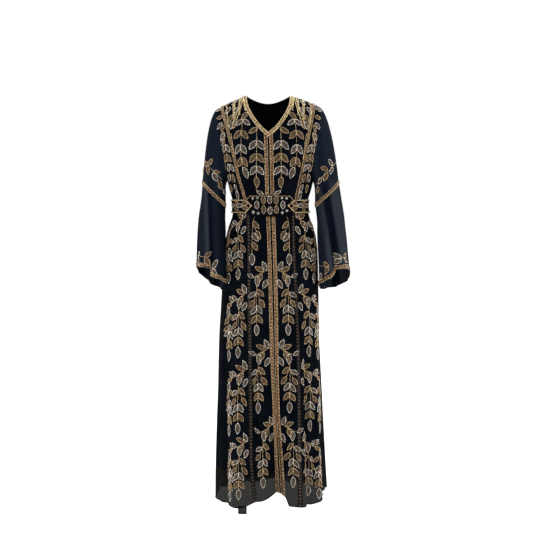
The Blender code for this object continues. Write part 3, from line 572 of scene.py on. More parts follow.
def front_centre(side):
    """A centre front panel, with columns from the placket out to the front seam."""
    sign = SIDES[side]
    placket, seam = front_line("placket"), front_line(side)
    insets = (SEAM_GAP / 2, PLACKET_INSET, PLACKET_INSET + TRIM_WIDTH)
    lines = [moved(placket, sign * inset) for inset in insets]
    columns = [neck_column(line, x, sign, True, True) for line, x in zip(lines, insets)]
    inner, outer = lines[-1], moved(seam, -sign * TRIM_WIDTH / 2)
    for k, x in enumerate(FRONT_NECK_COLUMNS_X, 1):
        columns.append(neck_column(between(inner, outer, k / CENTRE_COLUMNS), x, sign, True))
    neck_columns = len(columns)
    for k in range(len(FRONT_NECK_COLUMNS_X) + 1, CENTRE_COLUMNS + 1):
        columns.append(shoulder_column(between(inner, outer, k / CENTRE_COLUMNS)))
    columns.append(shoulder_column(moved(seam, -sign * SEAM_GAP / 2)))
    return panel(columns, neck_columns)


def front_side(side):
    """A side front panel, with columns from the front seam out to the arm."""
    sign = SIDES[side]
    seam = front_line(side)
    inner = moved(seam, sign * TRIM_WIDTH / 2)
    outer = moved(armhole_line(sign, True), -sign * SEAM_GAP / 2)
    columns = [shoulder_column(moved(seam, sign * SEAM_GAP / 2))]
    for k in range(SIDE_COLUMNS + 1):
        share = k / SIDE_COLUMNS
        columns.append(shoulder_column(between(inner, outer, share), share))
    return panel(columns, 0)


def back_half(side):
    """A back panel, with columns from the seam down its middle out to the arm."""
    sign = SIDES[side]
    inner = moved(lambda z: sign * np.pi + 0 * z, -sign * SEAM_GAP / 2)
    outer = moved(armhole_line(sign, False), sign * SEAM_GAP / 2)
    columns = []
    for k, x in enumerate(BACK_NECK_COLUMNS_X):
        line = between(inner, outer, k / BACK_COLUMNS)
        columns.append(neck_column(line, x, sign, False, k == 0))
    neck_columns = len(columns)
    for k in range(neck_columns, BACK_COLUMNS + 1):
        edge = (k - neck_columns + 1) / (BACK_COLUMNS - neck_columns + 1)
        columns.append(shoulder_column(between(inner, outer, k / BACK_COLUMNS), edge))
    return panel(columns, neck_columns)


def sleeve_ring(side, phi, z):
    """Points of a sleeve's tube at an angle and height, and the directions out of it. They
    are worked out with x growing away from the body, on either side."""
    sign = SIDES[side]
    wide, deep = ring_half_width[side](z), ring_half_depth(z)
    mid_x = sign * centre_x(z)

    def at(angle):
        degrees = np.degrees(angle)
        out = fold_out(SLEEVE_FOLDS, degrees, z, SLEEVE_FOLD_LOW_Z)
        out = out + crease_out(SLEEVE_CREASES, degrees, z)
        out_x, out_y = np.cos(angle) / wide, -np.sin(angle) / deep
        out = out / np.hypot(out_x, out_y)
        x = ring_centre_x[side](z) + wide * np.cos(angle) + out * out_x - mid_x
        y = ring_centre_y(z) - deep * np.sin(angle) + out * out_y
        body_depth = np.where(y <= 0, front_depth(z), back_depth(z)) + SLEEVE_CLEARANCE
        share = np.hypot(x / (half_width(z) + SLEEVE_CLEARANCE), y / body_depth)
        clear = 1 + np.logaddexp(0, (share - 1) / SLEEVE_SOFTNESS) * SLEEVE_SOFTNESS
        return mid_x + x * clear / share, y * clear / share

    step = 0.02
    x, y = at(phi)
    x_ahead, y_ahead = at(phi + step)
    x_behind, y_behind = at(phi - step)
    out = unit(np.stack([sign * (y_behind - y_ahead), x_ahead - x_behind, np.zeros_like(x)], -1))
    return np.stack([sign * x, y, z + np.zeros_like(x)], -1), out


def with_midpoints(loop):
    """A closed loop of rows with the middle of each step put in."""
    return np.stack([loop, (loop + np.roll(loop, -1, 0)) / 2], 1).reshape(-1, *loop.shape[1:])


def armhole_loop(front, back, sign):
    """The start of a sleeve round its armhole: inner points, outward directions, and the
    directions in which the sleeve leaves the body. It runs from the shoulder tip down the
    front, under the arm and up the back."""
    rows = slice(1, TOP_ROWS + 2)
    corners = [grid.points[-1, rows] + grid.outs[-1, rows] * CLOTH for grid in (front, back)]
    outs = [grid.outs[-1, rows] for grid in (front, back)]

    def joined(pair):
        first, second = pair
        tip, pit = (first[0] + second[0]) / 2, (first[-1] + second[-1]) / 2
        return np.concatenate([[tip], first[1:-1], [pit], second[-2:0:-1]])

    edge, body_out = joined(corners), unit(joined(outs))
    round_out = unit((edge - edge.mean(0)) * (0, 1, 1))
    high = ease((edge[:, 2:] - ARMPIT_Z) / SLEEVE_ROUND_HEIGHT)
    out = unit(body_out * high + round_out * (1 - high))
    leave = unit(np.cross(np.roll(edge, -1, 0) - np.roll(edge, 1, 0), out))
    leave *= np.sign(leave[:, :1]) * sign
    outer = edge + leave * ARMHOLE_GAP
    return with_midpoints(outer - out * CLOTH), with_midpoints(out), unit(with_midpoints(leave))


def upper_sleeve(side, front, back):
    """The sleeve from the armhole to the seam round the elbow."""
    sign = SIDES[side]
    start, start_out, leave = armhole_loop(front, back, sign)
    phi = np.arange(len(start)) / len(start) * 2 * np.pi
    seam_z = ELBOW_Z + ELBOW_SLANT * np.cos(phi)
    end, end_out = sleeve_ring(side, phi, seam_z + ELBOW_BAND_HALF)
    seam, seam_out = sleeve_ring(side, phi, seam_z + ELBOW_GAP / 2)
    length = np.linalg.norm(end - start, axis=-1, keepdims=True)
    away = np.array([sign, 0, 0])
    down = np.array([0, 0, -1])
    leave_share, away_share, down_share = SLEEVE_LEAVING
    leaving = length * (leave_share * leave + away_share * away + down_share * down)
    down_share, away_share = SLEEVE_ARRIVING
    arriving = length * (down_share * down + away_share * away * np.clip(np.cos(phi), 0, 1)[:, None])
    rows = []
    for k in range(UPPER_SLEEVE_ROWS + 1):
        t = k / UPPER_SLEEVE_ROWS
        rows.append(
            (1 + 2 * t) * (1 - t) ** 2 * start
            + t * (1 - t) ** 2 * leaving
            + t * t * (3 - 2 * t) * end
            - t * t * (1 - t) * arriving
        )
    points = np.stack(rows + [seam], 1)
    drag = crease_out(UPPER_SLEEVE_CREASES, np.degrees(phi)[:, None], points[..., 2])
    around = np.roll(points, -1, 0) - np.roll(points, 1, 0)
    along = np.gradient(points, axis=1)
    outs = unit(np.cross(along, around)) * -sign
    outs[:, 0] = start_out
    outs[:, -2], outs[:, -1] = end_out, seam_out
    return Grid(points + outs * drag[..., None], outs)


def lower_sleeve(side):
    """The sleeve from the seam round the elbow to its hem."""
    count = 4 * TOP_ROWS
    phi = np.arange(count) / count * 2 * np.pi
    seam_z = ELBOW_Z + ELBOW_SLANT * np.cos(phi)
    hem = sleeve_hem_z[side](np.degrees(phi))
    first = seam_z - ELBOW_BAND_HALF
    last = hem + CUFF_BAND_LIFT + CUFF_BAND_WIDTH
    levels = [seam_z - ELBOW_GAP / 2]
    levels += [first + (last - first) * k / LOWER_SLEEVE_ROWS for k in range(LOWER_SLEEVE_ROWS + 1)]
    levels += [hem + CUFF_BAND_LIFT, hem]
    return stacked([sleeve_ring(side, phi, z) for z in levels], axis=1)


def middle(grid_a, column_a, grid_b, column_b):
    """The column halfway between two that meet at a seam."""
    points = (grid_a.points[column_a] + grid_b.points[column_b]) / 2
    return points, unit(grid_a.outs[column_a] + grid_b.outs[column_b])


def single(grid, c):
    return grid.points[c], grid.outs[c]


def faces_of(grid, closed):
    """The quads of a grid's cells, as places in a flat list of its points."""
    columns, rows = grid.points.shape[:2]
    cells = np.array(grid.cells(closed))
    at, ahead, row = cells[:, 0], (cells[:, 0] + 1) % columns, cells[:, 1]
    first, second = at * rows + row, ahead * rows + row
    quads = np.stack([first, first + 1, second + 1, second], 1)
    flat = grid.points.reshape(-1, 3)
    normals = np.cross(flat[quads[:, 1]] - flat[quads[:, 3]], flat[quads[:, 2]] - flat[quads[:, 0]])
    turned = np.sum(normals * grid.outs.reshape(-1, 3)[quads[:, 0]])
    return quads if turned > 0 else quads[:, ::-1]


def wall(grid, low, high, closed=False):
    """Points and faces of a closed wall between two offsets from a grid."""
    quads = faces_of(grid, closed)
    count = grid.points.shape[0] * grid.points.shape[1]
    shape = grid.points.shape[:2]
    outer, inner = (
        (grid.points + grid.outs * np.broadcast_to(level, shape)[..., None]).reshape(-1, 3)
        for level in (high, low)
    )
    starts, ends = quads.ravel(), np.roll(quads, -1, 1).ravel()
    open_edge = ~np.isin(starts * count + ends, ends * count + starts)
    starts, ends = starts[open_edge], ends[open_edge]
    rim = np.stack([ends, starts, starts + count, ends + count], 1)
    faces = np.concatenate([quads, quads[:, ::-1] + count, rim])
    used, faces = np.unique(faces, return_inverse=True)
    return np.concatenate([outer, inner])[used], faces.reshape(-1, 4)


def made_piece(name, points, faces, finish, slot, smooth=True):
    """Makes one mesh object that rides on the dress."""
    mesh = bpy.data.meshes.new(name)
    mesh.from_pydata(points.tolist(), [], faces.tolist())
    if smooth:
        mesh.shade_smooth()
        mesh.set_sharp_from_angle(angle=np.radians(SHARP_ANGLE))
    mesh.materials.append(finish)
    piece = bpy.data.objects.new(name, mesh)
    bpy.context.scene.collection.objects.link(piece)
    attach(piece, "root")
    return piece


# Materials

def shader_of(made):
    return made.node_tree.nodes["Principled BSDF"]


def material(name, colour, roughness, metallic=0.0, more=()):
    """A material with values for its shader's sockets. more holds further ones by name."""
    made = bpy.data.materials.new(name)
    made.use_nodes = True
    values = {"Base Color": (*colour, 1), "Roughness": roughness, "Metallic": metallic}
    for socket, value in {**values, **dict(more)}.items():
        shader_of(made).inputs[socket].default_value = value
    return made


def feed(made, socket, value):
    """Links a node's output to a socket of the material's shader."""
    made.node_tree.links.new(value, shader_of(made).inputs[socket])


def add_node(made, kind, inputs=(), **settings):
    """Adds a node. inputs holds, by the socket's name or place, its value or what is linked
    to it, and settings the node's own properties."""
    node = made.node_tree.nodes.new(kind)
    for name, value in settings.items():
        setattr(node, name, value)
    for socket, value in dict(inputs).items():
        if isinstance(value, bpy.types.NodeSocket):
            made.node_tree.links.new(value, node.inputs[socket])
        else:
            node.inputs[socket].default_value = value
    return node


def place_of(made):
    return add_node(made, "ShaderNodeTexCoord").outputs["Object"]


def mottle(made, dark, light, scale, detail=3.0):
    """Lets the base colour wander between two shades."""
    values = {"Vector": place_of(made), "Scale": scale, "Detail": detail}
    noise = add_node(made, "ShaderNodeTexNoise", values)
    ramp = add_node(made, "ShaderNodeValToRGB", {"Fac": noise.outputs["Fac"]})
    for stop, place, colour in zip(ramp.color_ramp.elements, MOTTLE_STOPS, (dark, light)):
        stop.position = place
        stop.color = (*colour, 1)
    feed(made, "Base Color", ramp.outputs["Color"])


def bump(made, height, strength, distance=0.0004):
    values = {"Height": height, "Strength": strength, "Distance": distance}
    feed(made, "Normal", add_node(made, "ShaderNodeBump", values).outputs["Normal"])


def georgette(name, dark, light, sheen):
    """Thin crepe cloth: a fine woven grain, a pebbled surface and a faint blue nap."""
    nap = {"Sheen Weight": sheen, "Sheen Roughness": 0.45, "Sheen Tint": (0.55, 0.68, 0.95, 1)}
    made = material(name, dark, 0.78, more={**nap, "Specular IOR Level": 0.01})
    mottle(made, dark, light, 14.0)
    where = place_of(made)
    threads = {"Vector": where, "Scale": THREADS, "Distortion": 1.6, "Detail Scale": 3.0}
    pebbles = {"Vector": where, "Scale": PEBBLES, "Detail": 2.0}
    total, more = (
        add_node(made, "ShaderNodeTexWave", threads, bands_direction=way).outputs["Fac"] for way in "XZ"
    )
    for part in (more, add_node(made, "ShaderNodeTexNoise", pebbles).outputs["Fac"]):
        total = add_node(made, "ShaderNodeMath", {0: total, 1: part}, operation="ADD").outputs[0]
    bump(made, total, 0.35)
    return made


def paint_sheen_bands(made, slope, bands):
    """Painted light and shade on a sleeve: soft upright bands painted into its base colour,
    lighter where the thin cloth catches the light and lets it through, darker between them.
    Each band has its place from side to side at the elbow, which moves with the height by
    the slope, and its colour."""
    low, high = bands[0].x, bands[-1].x
    way = {0: place_of(made), 1: (1.0, 0.0, slope)}
    way = add_node(made, "ShaderNodeVectorMath", way, operation="DOT_PRODUCT").outputs["Value"]
    at_elbow = {0: way, 1: slope * ELBOW_Z}
    at_elbow = add_node(made, "ShaderNodeMath", at_elbow, operation="SUBTRACT").outputs["Value"]
    across = add_node(made, "ShaderNodeMapRange", {"Value": at_elbow, "From Min": low, "From Max": high})
    ramp = add_node(made, "ShaderNodeValToRGB", {"Fac": across.outputs["Result"]})
    ramp.color_ramp.interpolation = "EASE"
    stops = ramp.color_ramp.elements
    # Each stop is a band of painted sheen or painted shade in the base colour
    for k, sheen_band in enumerate(bands):
        stop = stops[k] if k < 2 else stops.new(1.0)
        stop.position = (sheen_band.x - low) / (high - low)
        stop.color = (*sheen_band.colour, 1)
    # Above the elbow the painted bands of sheen and shade mostly fade into the plain dim colour
    height = add_node(made, "ShaderNodeSeparateXYZ", {"Vector": place_of(made)}).outputs["Z"]
    above = {"Value": height, "From Min": ELBOW_Z, "From Max": ELBOW_Z + SHEEN_FADE, "To Max": 0.85}
    fade = add_node(made, "ShaderNodeMapRange", above).outputs["Result"]
    shades = {"Fac": fade, "Color1": ramp.outputs["Color"], "Color2": (*DIM, 1)}
    feed(made, "Base Color", add_node(made, "ShaderNodeMixRGB", shades).outputs["Color"])


def sheer_below(made, start_z, thin, waver):
    """Makes cloth see-through below the edge of its lining, which runs unevenly."""
    where = place_of(made)
    height = add_node(made, "ShaderNodeSeparateXYZ", {"Vector": where}).outputs["Z"]
    noise = add_node(made, "ShaderNodeTexNoise", {"Vector": where, "Scale": 7.0, "Detail": 1.0})
    uneven = {0: noise.outputs["Fac"], 1: waver, 2: height}
    uneven = add_node(made, "ShaderNodeMath", uneven, operation="MULTIPLY_ADD").outputs[0]
    low, high = start_z + waver / 2 - SHEER_BELOW, start_z + waver / 2 + SHEER_ABOVE
    span = {"Value": uneven, "From Min": low, "From Max": high, "To Min": thin, "To Max": 1.0}
    share = add_node(made, "ShaderNodeMapRange", span, interpolation_type="SMOOTHSTEP").outputs["Result"]
    lined = shader_of(made).inputs["Base Color"].links[0].from_socket
    shades = {"Fac": share, "Color1": (*SHEER_TINT, 1), "Color2": lined}
    feed(made, "Base Color", add_node(made, "ShaderNodeMixRGB", shades).outputs["Color"])
    feed(made, "Alpha", share)


def beads(name, dark, light, roughness, coat=0.3):
    """Lined glass beads, each a little lighter or darker than the next."""
    made = material(name, light, roughness, 0.85, {"Coat Weight": coat})
    mottle(made, dark, light, 420.0, 0.0)
    return made


def stones(name, dark, light):
    """Cut glass with foil behind it."""
    made = material(name, light, 0.25, 0.5, {"Coat Weight": 0.3})
    mottle(made, dark, light, 260.0, 0.0)
    return made


def thread(name, dark, light):
    """Satin stitches that fill a leaf under its beads."""
    made = material(name, light, 0.5, 0.35, {"Specular IOR Level": 0.1})
    mottle(made, dark, light, 300.0)
    stitches = {"Vector": place_of(made), "Scale": STITCHES, "Distortion": 2.0}
    wave = add_node(made, "ShaderNodeTexWave", stitches, bands_direction="DIAGONAL")
    bump(made, wave.outputs["Fac"], 0.5)
    return made


SHEER_TINT = (0.036, 0.028, 0.014)
SKIRT_CLOTH = georgette("black georgette", (0.0009, 0.0015, 0.0028), (0.0022, 0.0032, 0.0052), 0.002)
sheer_below(SKIRT_CLOTH, SHEER_Z, 0.86, 0.05)
# One band of the painted light and shade on a sleeve: its place from side to side and its colour
SheenBand = namedtuple("SheenBand", "x colour")
# Shades of the sleeves' thin cloth. The dark and dim ones are its own colour and also the painted shade
# between streaks; the grey is painted sheen where the cloth catches the light
DARK, DIM, SHEEN_GREY = (0.0016, 0.0026, 0.0060), (0.0050, 0.0078, 0.0135), (0.0190, 0.0228, 0.0300)
# Painted light and shade across each sleeve: grey streaks of painted sheen and darker bands of painted
# shade
SLEEVE_SHEEN_BANDS = {
    "left": table_of(
        SheenBand,
        (-0.245, DARK),
        (-0.222, DIM),
        (-0.207, SHEEN_GREY),
        (-0.197, DARK),
        (-0.172, DIM),
        (-0.150, DARK),
    ),
    "right": table_of(
        SheenBand,
        (0.150, DIM),
        (0.172, SHEEN_GREY),
        (0.184, DARK),
        (0.200, DARK),
        (0.212, SHEEN_GREY),
        (0.232, SHEEN_GREY),
        (0.246, DARK),
    ),
}
SHEEN_BAND_SLOPE = {"left": 0.04, "right": 0.15}
# Each sleeve's cloth gets its own painted bands of sheen and shade
SLEEVE_CLOTH = {}
for side, bands in SLEEVE_SHEEN_BANDS.items():
    finish = georgette(f"thin georgette {side}", DARK, DIM, 0.01)
    paint_sheen_bands(finish, SHEEN_BAND_SLOPE[side], bands)
    SLEEVE_CLOTH[side] = finish
VELVET = georgette("black velvet", (0.0012, 0.0014, 0.0020), (0.0028, 0.0030, 0.0038), 0.002)
ROLLED = material("rolled hem", (0.0012, 0.0014, 0.0020), 0.9, more={"Specular IOR Level": 0.05})
RIBBON = thread("bronze ribbon", (0.014, 0.009, 0.005), (0.060, 0.040, 0.022))
DARK_RIBBON = thread("dark ribbon", (0.002, 0.002, 0.002), (0.010, 0.008, 0.007))
# Each kind of bead, stone or thread: its material, and its slot
KINDS = {
    "gold_beads": (beads("gold beads", (0.26, 0.172, 0.086), (0.80, 0.60, 0.345), 0.26), "gold_bead"),
    "bright_beads": (beads("bright gold beads", (0.40, 0.30, 0.13), (0.96, 0.80, 0.47), 0.22), "gold_bead"),
    "silver_beads": (beads("silver beads", (0.36, 0.33, 0.27), (0.95, 0.90, 0.80), 0.24), "silver_bead"),
    "bronze_beads": (beads("bronze beads", (0.04, 0.029, 0.02), (0.14, 0.105, 0.074), 0.34), "gold_bead"),
    "dark_beads": (beads("dark beads", (0.002, 0.002, 0.002), (0.018, 0.014, 0.011), 0.5, 0), "gold_bead"),
    "brown_stones": (stones("brown stones", (0.06, 0.018, 0.006), (0.20, 0.085, 0.03)), "brown_stone"),
    "dark_stones": (stones("dark stones", (0.014, 0.006, 0.003), (0.07, 0.038, 0.022)), "brown_stone"),
    "clear_stones": (stones("clear stones", (0.10, 0.10, 0.085), (0.27, 0.27, 0.23)), "clear_stone"),
    "gold_pads": (thread("gold thread", (0.014, 0.009, 0.004), (0.09, 0.063, 0.034)), "gold_bead"),
    "silver_pads": (thread("champagne thread", (0.014, 0.01, 0.008), (0.084, 0.073, 0.06)), "silver_bead"),
}
FLAT_KINDS = ("brown_stones", "dark_stones", "clear_stones")


# Small shapes that are made in great numbers

def bead_shape():
    """A bead of twenty faces and unit radius."""
    golden = (1 + 5**0.5) / 2
    corners = [(0, a, b * golden) for a in (-1, 1) for b in (-1, 1)]
    points = np.array(corners + [(b, 0, a) for _, a, b in corners] + [(a, b, 0) for _, a, b in corners])
    edge = 2.0
    nearly = 1.01
    near = np.linalg.norm(points[:, None] - points[None], axis=-1) < edge * nearly
    faces = [
        (a, b, c)
        for a in range(12) for b in range(a + 1, 12) for c in range(b + 1, 12)
        if near[a, b] and near[b, c] and near[a, c]
    ]
    faces = [face if np.linalg.det(points[list(face)]) > 0 else face[::-1] for face in faces]
    return points / np.linalg.norm(points[0]), np.array(faces)


STONE_RINGS = ((1.0, 0.0), (1.0, 0.45), (0.58, 1.0))  # the size and height of each ring of corners


def stone_shape(outline):
    """A cut stone over an outline of unit size: upright girdle, sloping crown and flat table."""
    outline = np.array(outline, float)
    count = len(outline)
    points = [np.column_stack([outline * scale, np.full(count, up)]) for scale, up in STONE_RINGS]
    points += [np.array([[0, 0, 0.0], [0, 0, 1.0]])]
    low, high = 3 * count, 3 * count + 1
    faces = []
    for k in range(count):
        n = (k + 1) % count
        for ring in (0, count):
            a, b = ring + k, ring + n
            faces += [(a, b, b + count), (a, b + count, a + count)]
        faces += [(low, n, k), (high, 2 * count + k, 2 * count + n)]
    return np.concatenate(points), np.array(faces)


def ring_outline(count):
    """Points round a circle."""
    turn = np.arange(count) / count * 2 * np.pi
    return np.column_stack([np.sin(turn), np.cos(turn)])


BEAD = bead_shape()
SQUARE = stone_shape([(1, 1), (-1, 1), (-1, -1), (1, -1)])
ROUND = stone_shape(ring_outline(8))
NAVETTE = stone_shape(
    [(0, 1), (-0.62, 0.55), (-1, 0), (-0.62, -0.55), (0, -1), (0.62, -0.55), (1, 0), (0.62, 0.55)]
)
heaps = {}


def scatter(kind, region, shape, centres, axes, sizes):
    """Puts copies of a small shape on a heap. axes gives each copy's three directions, or one
    set for all of them, and sizes its half sizes along them."""
    points, faces = shape
    centres = np.asarray(centres, float).reshape(-1, 3)
    axes = np.broadcast_to(axes, (len(centres), 3, 3))
    sizes = np.broadcast_to(sizes, (len(centres), 3))
    local = points[None] * sizes[:, None]
    copies = centres[:, None] + np.einsum("nva,nax->nvx", local, axes)
    starts = np.arange(len(centres)) * len(points)
    heaps.setdefault((kind, region), []).append(
        (copies.reshape(-1, 3), (faces[None] + starts[:, None, None]).reshape(-1, 3))
    )


def round_beads(kind, region, centres, radius):
    scatter(kind, region, BEAD, centres, np.eye(3), radius)


def make_heaps():
    """Makes one joined mesh for each heap."""
    for (kind, region), parts in heaps.items():
        starts = np.cumsum([0] + [len(points) for points, _ in parts])
        points = np.concatenate([points for points, _ in parts])
        faces = np.concatenate([faces + start for (_, faces), start in zip(parts, starts)])
        finish, slot = KINDS[kind]
        made_piece(f"{kind}_{region}", points, faces, finish, slot, kind not in FLAT_KINDS)


# Places on the cloth

def on_body(theta, z):
    points, outs = body(theta, z)
    return points + outs * CLOTH, outs


def on_sleeve(side):
    def at(phi, z):
        points, outs = sleeve_ring(side, phi, z)
        return points + outs * CLOTH, outs

    return at


def on_grid(grid):
    """A place on a closed grid, by angle round it and share of the way along it."""
    def at(phi, share):
        columns, rows = grid.points.shape[:2]
        phi, share = np.broadcast_arrays(phi, share)
        c = phi / (2 * np.pi) * columns
        r = np.clip(share, 0, 1) * (rows - 1)
        c_low, r_low = np.floor(c).astype(int), np.minimum(np.floor(r).astype(int), rows - 2)
        c_part, r_part = (c - c_low)[..., None], (r - r_low)[..., None]

        def mixed(values):
            first, second = values[c_low % columns], values[(c_low + 1) % columns]
            index = tuple(np.indices(r_low.shape))
            near = first[(*index, r_low)] * (1 - c_part) + second[(*index, r_low)] * c_part
            far = first[(*index, r_low + 1)] * (1 - c_part) + second[(*index, r_low + 1)] * c_part
            return near * (1 - r_part) + far * r_part

        outs = unit(mixed(grid.outs))
        return mixed(grid.points) + outs * CLOTH, outs

    return at


def spread(surface, a, b, right, down, up):
    """Points at distances right and down along the cloth from a place on it, and up from it.
    Returns the points, and the directions right, down and up at the place."""
    step = 0.004
    a, b = np.float64(a), np.float64(b)
    here, out = surface(a, b)
    along_a = (surface(a + step, b)[0] - surface(a - step, b)[0]) / (2 * step)
    along_b = (surface(a, b + step)[0] - surface(a, b - step)[0]) / (2 * step)
    downward = unit(np.array([0, 0, -1.0]) + out * out[2])
    rightward = np.cross(out, downward)
    metric = np.array([[along_a @ along_a, along_a @ along_b], [along_a @ along_b, along_b @ along_b]])
    way = np.asarray(right)[..., None] * rightward + np.asarray(down)[..., None] * downward
    moves = np.linalg.solve(metric, np.stack([way @ along_a, way @ along_b]))
    points, outs = surface(a + moves[0], b + moves[1])
    return points + outs * np.asarray(up)[..., None], np.stack([rightward, downward, out])


def evenly(points, pitch):
    """Points at an even pitch along a line, with any values that follow their coordinates."""
    steps = np.linalg.norm(np.diff(points[:, :3], axis=0), axis=1)
    length = np.concatenate([[0], np.cumsum(steps)])
    count = max(int(round(length[-1] / pitch)), 1)
    at = (np.arange(count) + 0.5) * length[-1] / count
    return np.stack([np.interp(at, length, points[:, k]) for k in range(points.shape[1])], 1)


# Leaves and stems

Leaf = namedtuple("Leaf", "out down angle length colour")
RIM_PITCH = 0.0026
RIM_BEAD = 0.00128
PAD_RISE = 0.0014
RIB_SHARES = (0.24, 0.40, 0.56, 0.72)
STONE_SHARES = (0.28, 0.48, 0.68)
STONE_SIZE = (0.0018, 0.0019, 0.0019)
PAD_ROWS = 9
PAD_COLUMNS = 5
PAD_HIGH, PAD_LOW = 0.0002, 0.0001  # of the pad's rim and its underside, above the cloth
LEAF_POINTS = 40
LEAF_SCALE, LEAF_BASE, LEAF_TIP = 3.10, 0.72, 0.92  # how wide it is, and how pointed at both ends
RIM_SEAT = 0.8  # height of a rim bead's middle, in radii
STONE_SEAT = 0.75  # height of a leaf's stones on its pad, as a share of the pad's
RIB_REACH = 0.52  # from the leaf's middle to a rib's, as a share of the leaf's half width
RIB_SLANT = 0.9
RIB_LENGTH = 0.15  # half of it, as a share of the leaf's width
RIB_HALF = 0.0008


def leaf_half_width(share):
    """Half the width of a leaf of unit length, widest just below its middle and pointed."""
    return LEAF_WIDTH / 2 * LEAF_SCALE * share**LEAF_BASE * (1 - share) ** LEAF_TIP


def leaf(region, surface, a, b, angle, length, colour):
    """A padded leaf with a beaded rim and three stones. Its angle is that of its tip, from
    straight down towards the viewer's right."""
    share = np.linspace(0, 1, LEAF_POINTS)
    side = leaf_half_width(share)
    outline = np.concatenate([np.stack([side, share], 1), np.stack([-side, share], 1)[::-1]]) * length
    rim = evenly(outline, RIM_PITCH)
    ribs = [(s * RIB_REACH * leaf_half_width(t), t) for t in RIB_SHARES for s in (-1, 1)]
    ribs = np.array(ribs) * length
    centres = np.array([(0, t) for t in STONE_SHARES]) * length
    steps = np.linspace(0, 1, PAD_ROWS), np.linspace(-1, 1, PAD_COLUMNS)
    pad_t, pad_s = np.meshgrid(*steps, indexing="ij")
    pad = np.stack([pad_s * leaf_half_width(pad_t), pad_t], -1).reshape(-1, 2) * length
    dome = PAD_RISE * np.sqrt(np.clip(1 - pad_s**2, 0, 1)) * np.sin(np.pi * pad_t)
    groups = [rim, ribs, centres, pad, pad]
    ups = [
        np.full(len(rim), RIM_BEAD * RIM_SEAT),
        np.full(len(ribs), PAD_RISE),
        np.full(len(centres), PAD_RISE * STONE_SEAT),
        dome.ravel() + PAD_HIGH,
        np.full(len(pad), PAD_LOW),
    ]
    turn = np.radians(angle)
    flat = np.concatenate(groups)
    right = flat[:, 0] * np.cos(turn) + flat[:, 1] * np.sin(turn)
    down = -flat[:, 0] * np.sin(turn) + flat[:, 1] * np.cos(turn)
    points, axes = spread(surface, a, b, right, down, np.concatenate(ups))
    ends = np.cumsum([len(group) for group in groups])
    rim, ribs, centres, top, low = np.split(points, ends[:-1])
    along = axes[0] * np.sin(turn) + axes[1] * np.cos(turn)
    across = axes[0] * np.cos(turn) - axes[1] * np.sin(turn)
    round_beads(f"{colour}_beads", region, rim, RIM_BEAD)
    size = (length * LEAF_WIDTH * RIB_LENGTH, RIB_HALF, RIB_HALF)
    for k, s in enumerate((-1, 1)):
        slant = unit(across * s + along * RIB_SLANT)
        rib_axes = np.stack([slant, np.cross(axes[2], slant), axes[2]])
        scatter("bronze_beads", region, BEAD, ribs[k::2], rib_axes, size)
    scatter("brown_stones", region, ROUND, centres, np.stack([across, along, axes[2]]), STONE_SIZE)
    pad_faces(f"{colour}_pads", region, top, low)


def pad_faces(kind, region, top, low):
    """Closes a leaf's domed top with its flat underside."""
    index = np.arange(PAD_ROWS * PAD_COLUMNS).reshape(PAD_ROWS, PAD_COLUMNS)
    a, b, c, d = index[:-1, :-1], index[1:, :-1], index[1:, 1:], index[:-1, 1:]
    upper = np.concatenate([np.stack(face, -1).reshape(-1, 3) for face in ([a, d, c], [a, c, b])])
    points = np.concatenate([top, low])
    first, second, third = points[upper].transpose(1, 0, 2)
    lift = top.mean(0) - low.mean(0)
    if np.sum(np.cross(second - first, third - first) @ lift) < 0:
        upper = upper[:, ::-1]
    lower = upper[:, ::-1] + len(top)
    around = np.concatenate([index[0, :-1], index[:-1, -1], index[-1, :0:-1], index[:0:-1, 0]])
    after = np.roll(around, -1)
    sides = np.concatenate([
        np.stack([around, after, after + len(top)], 1),
        np.stack([around, after + len(top), around + len(top)], 1),
    ])
    heaps.setdefault((kind, region), []).append((points, np.concatenate([upper, lower, sides])))


# Trims

EDGE_PITCH, EDGE_BEAD, EDGE_LIFT = 0.0024, 0.00118, 0.0006  # of the beads along a strip's edges
STONE_SQUARE, STONE_HEIGHT = 0.95, 0.0018
BAR_REACH, BAR_HALF, BAR_LIFT = 1.05, 0.0009, 0.0003  # of the two bars between stones

# The pitch of each strip's square stones, and half the size of one
NECK_STONES = (0.0066, 0.0022)
PLACKET_STONES = (0.0112, 0.0033)
BODICE_SEAM_STONES = (0.0088, 0.0026)
SKIRT_SEAM_STONES = (0.0112, 0.0030)
BAND_STONES = (0.0088, 0.0028)
NECK_ROWS = (0.10, 0.27, 0.73, 0.90)  # where rows of beads run, across the neckband's width


def edge_line(points, outs, share, pitch):
    """Even places along a strip, at a share of its width: where each is and its directions."""
    line = points[0] * (1 - share) + points[-1] * share
    both = evenly(np.concatenate([line, outs.mean(0), points[-1] - points[0]], 1), pitch)
    places, out, across = both[:, :3], unit(both[:, 3:6]), both[:, 6:]
    across = unit(across - out * np.sum(across * out, 1, keepdims=True))
    return places, np.stack([across, np.cross(out, across), out], 1)


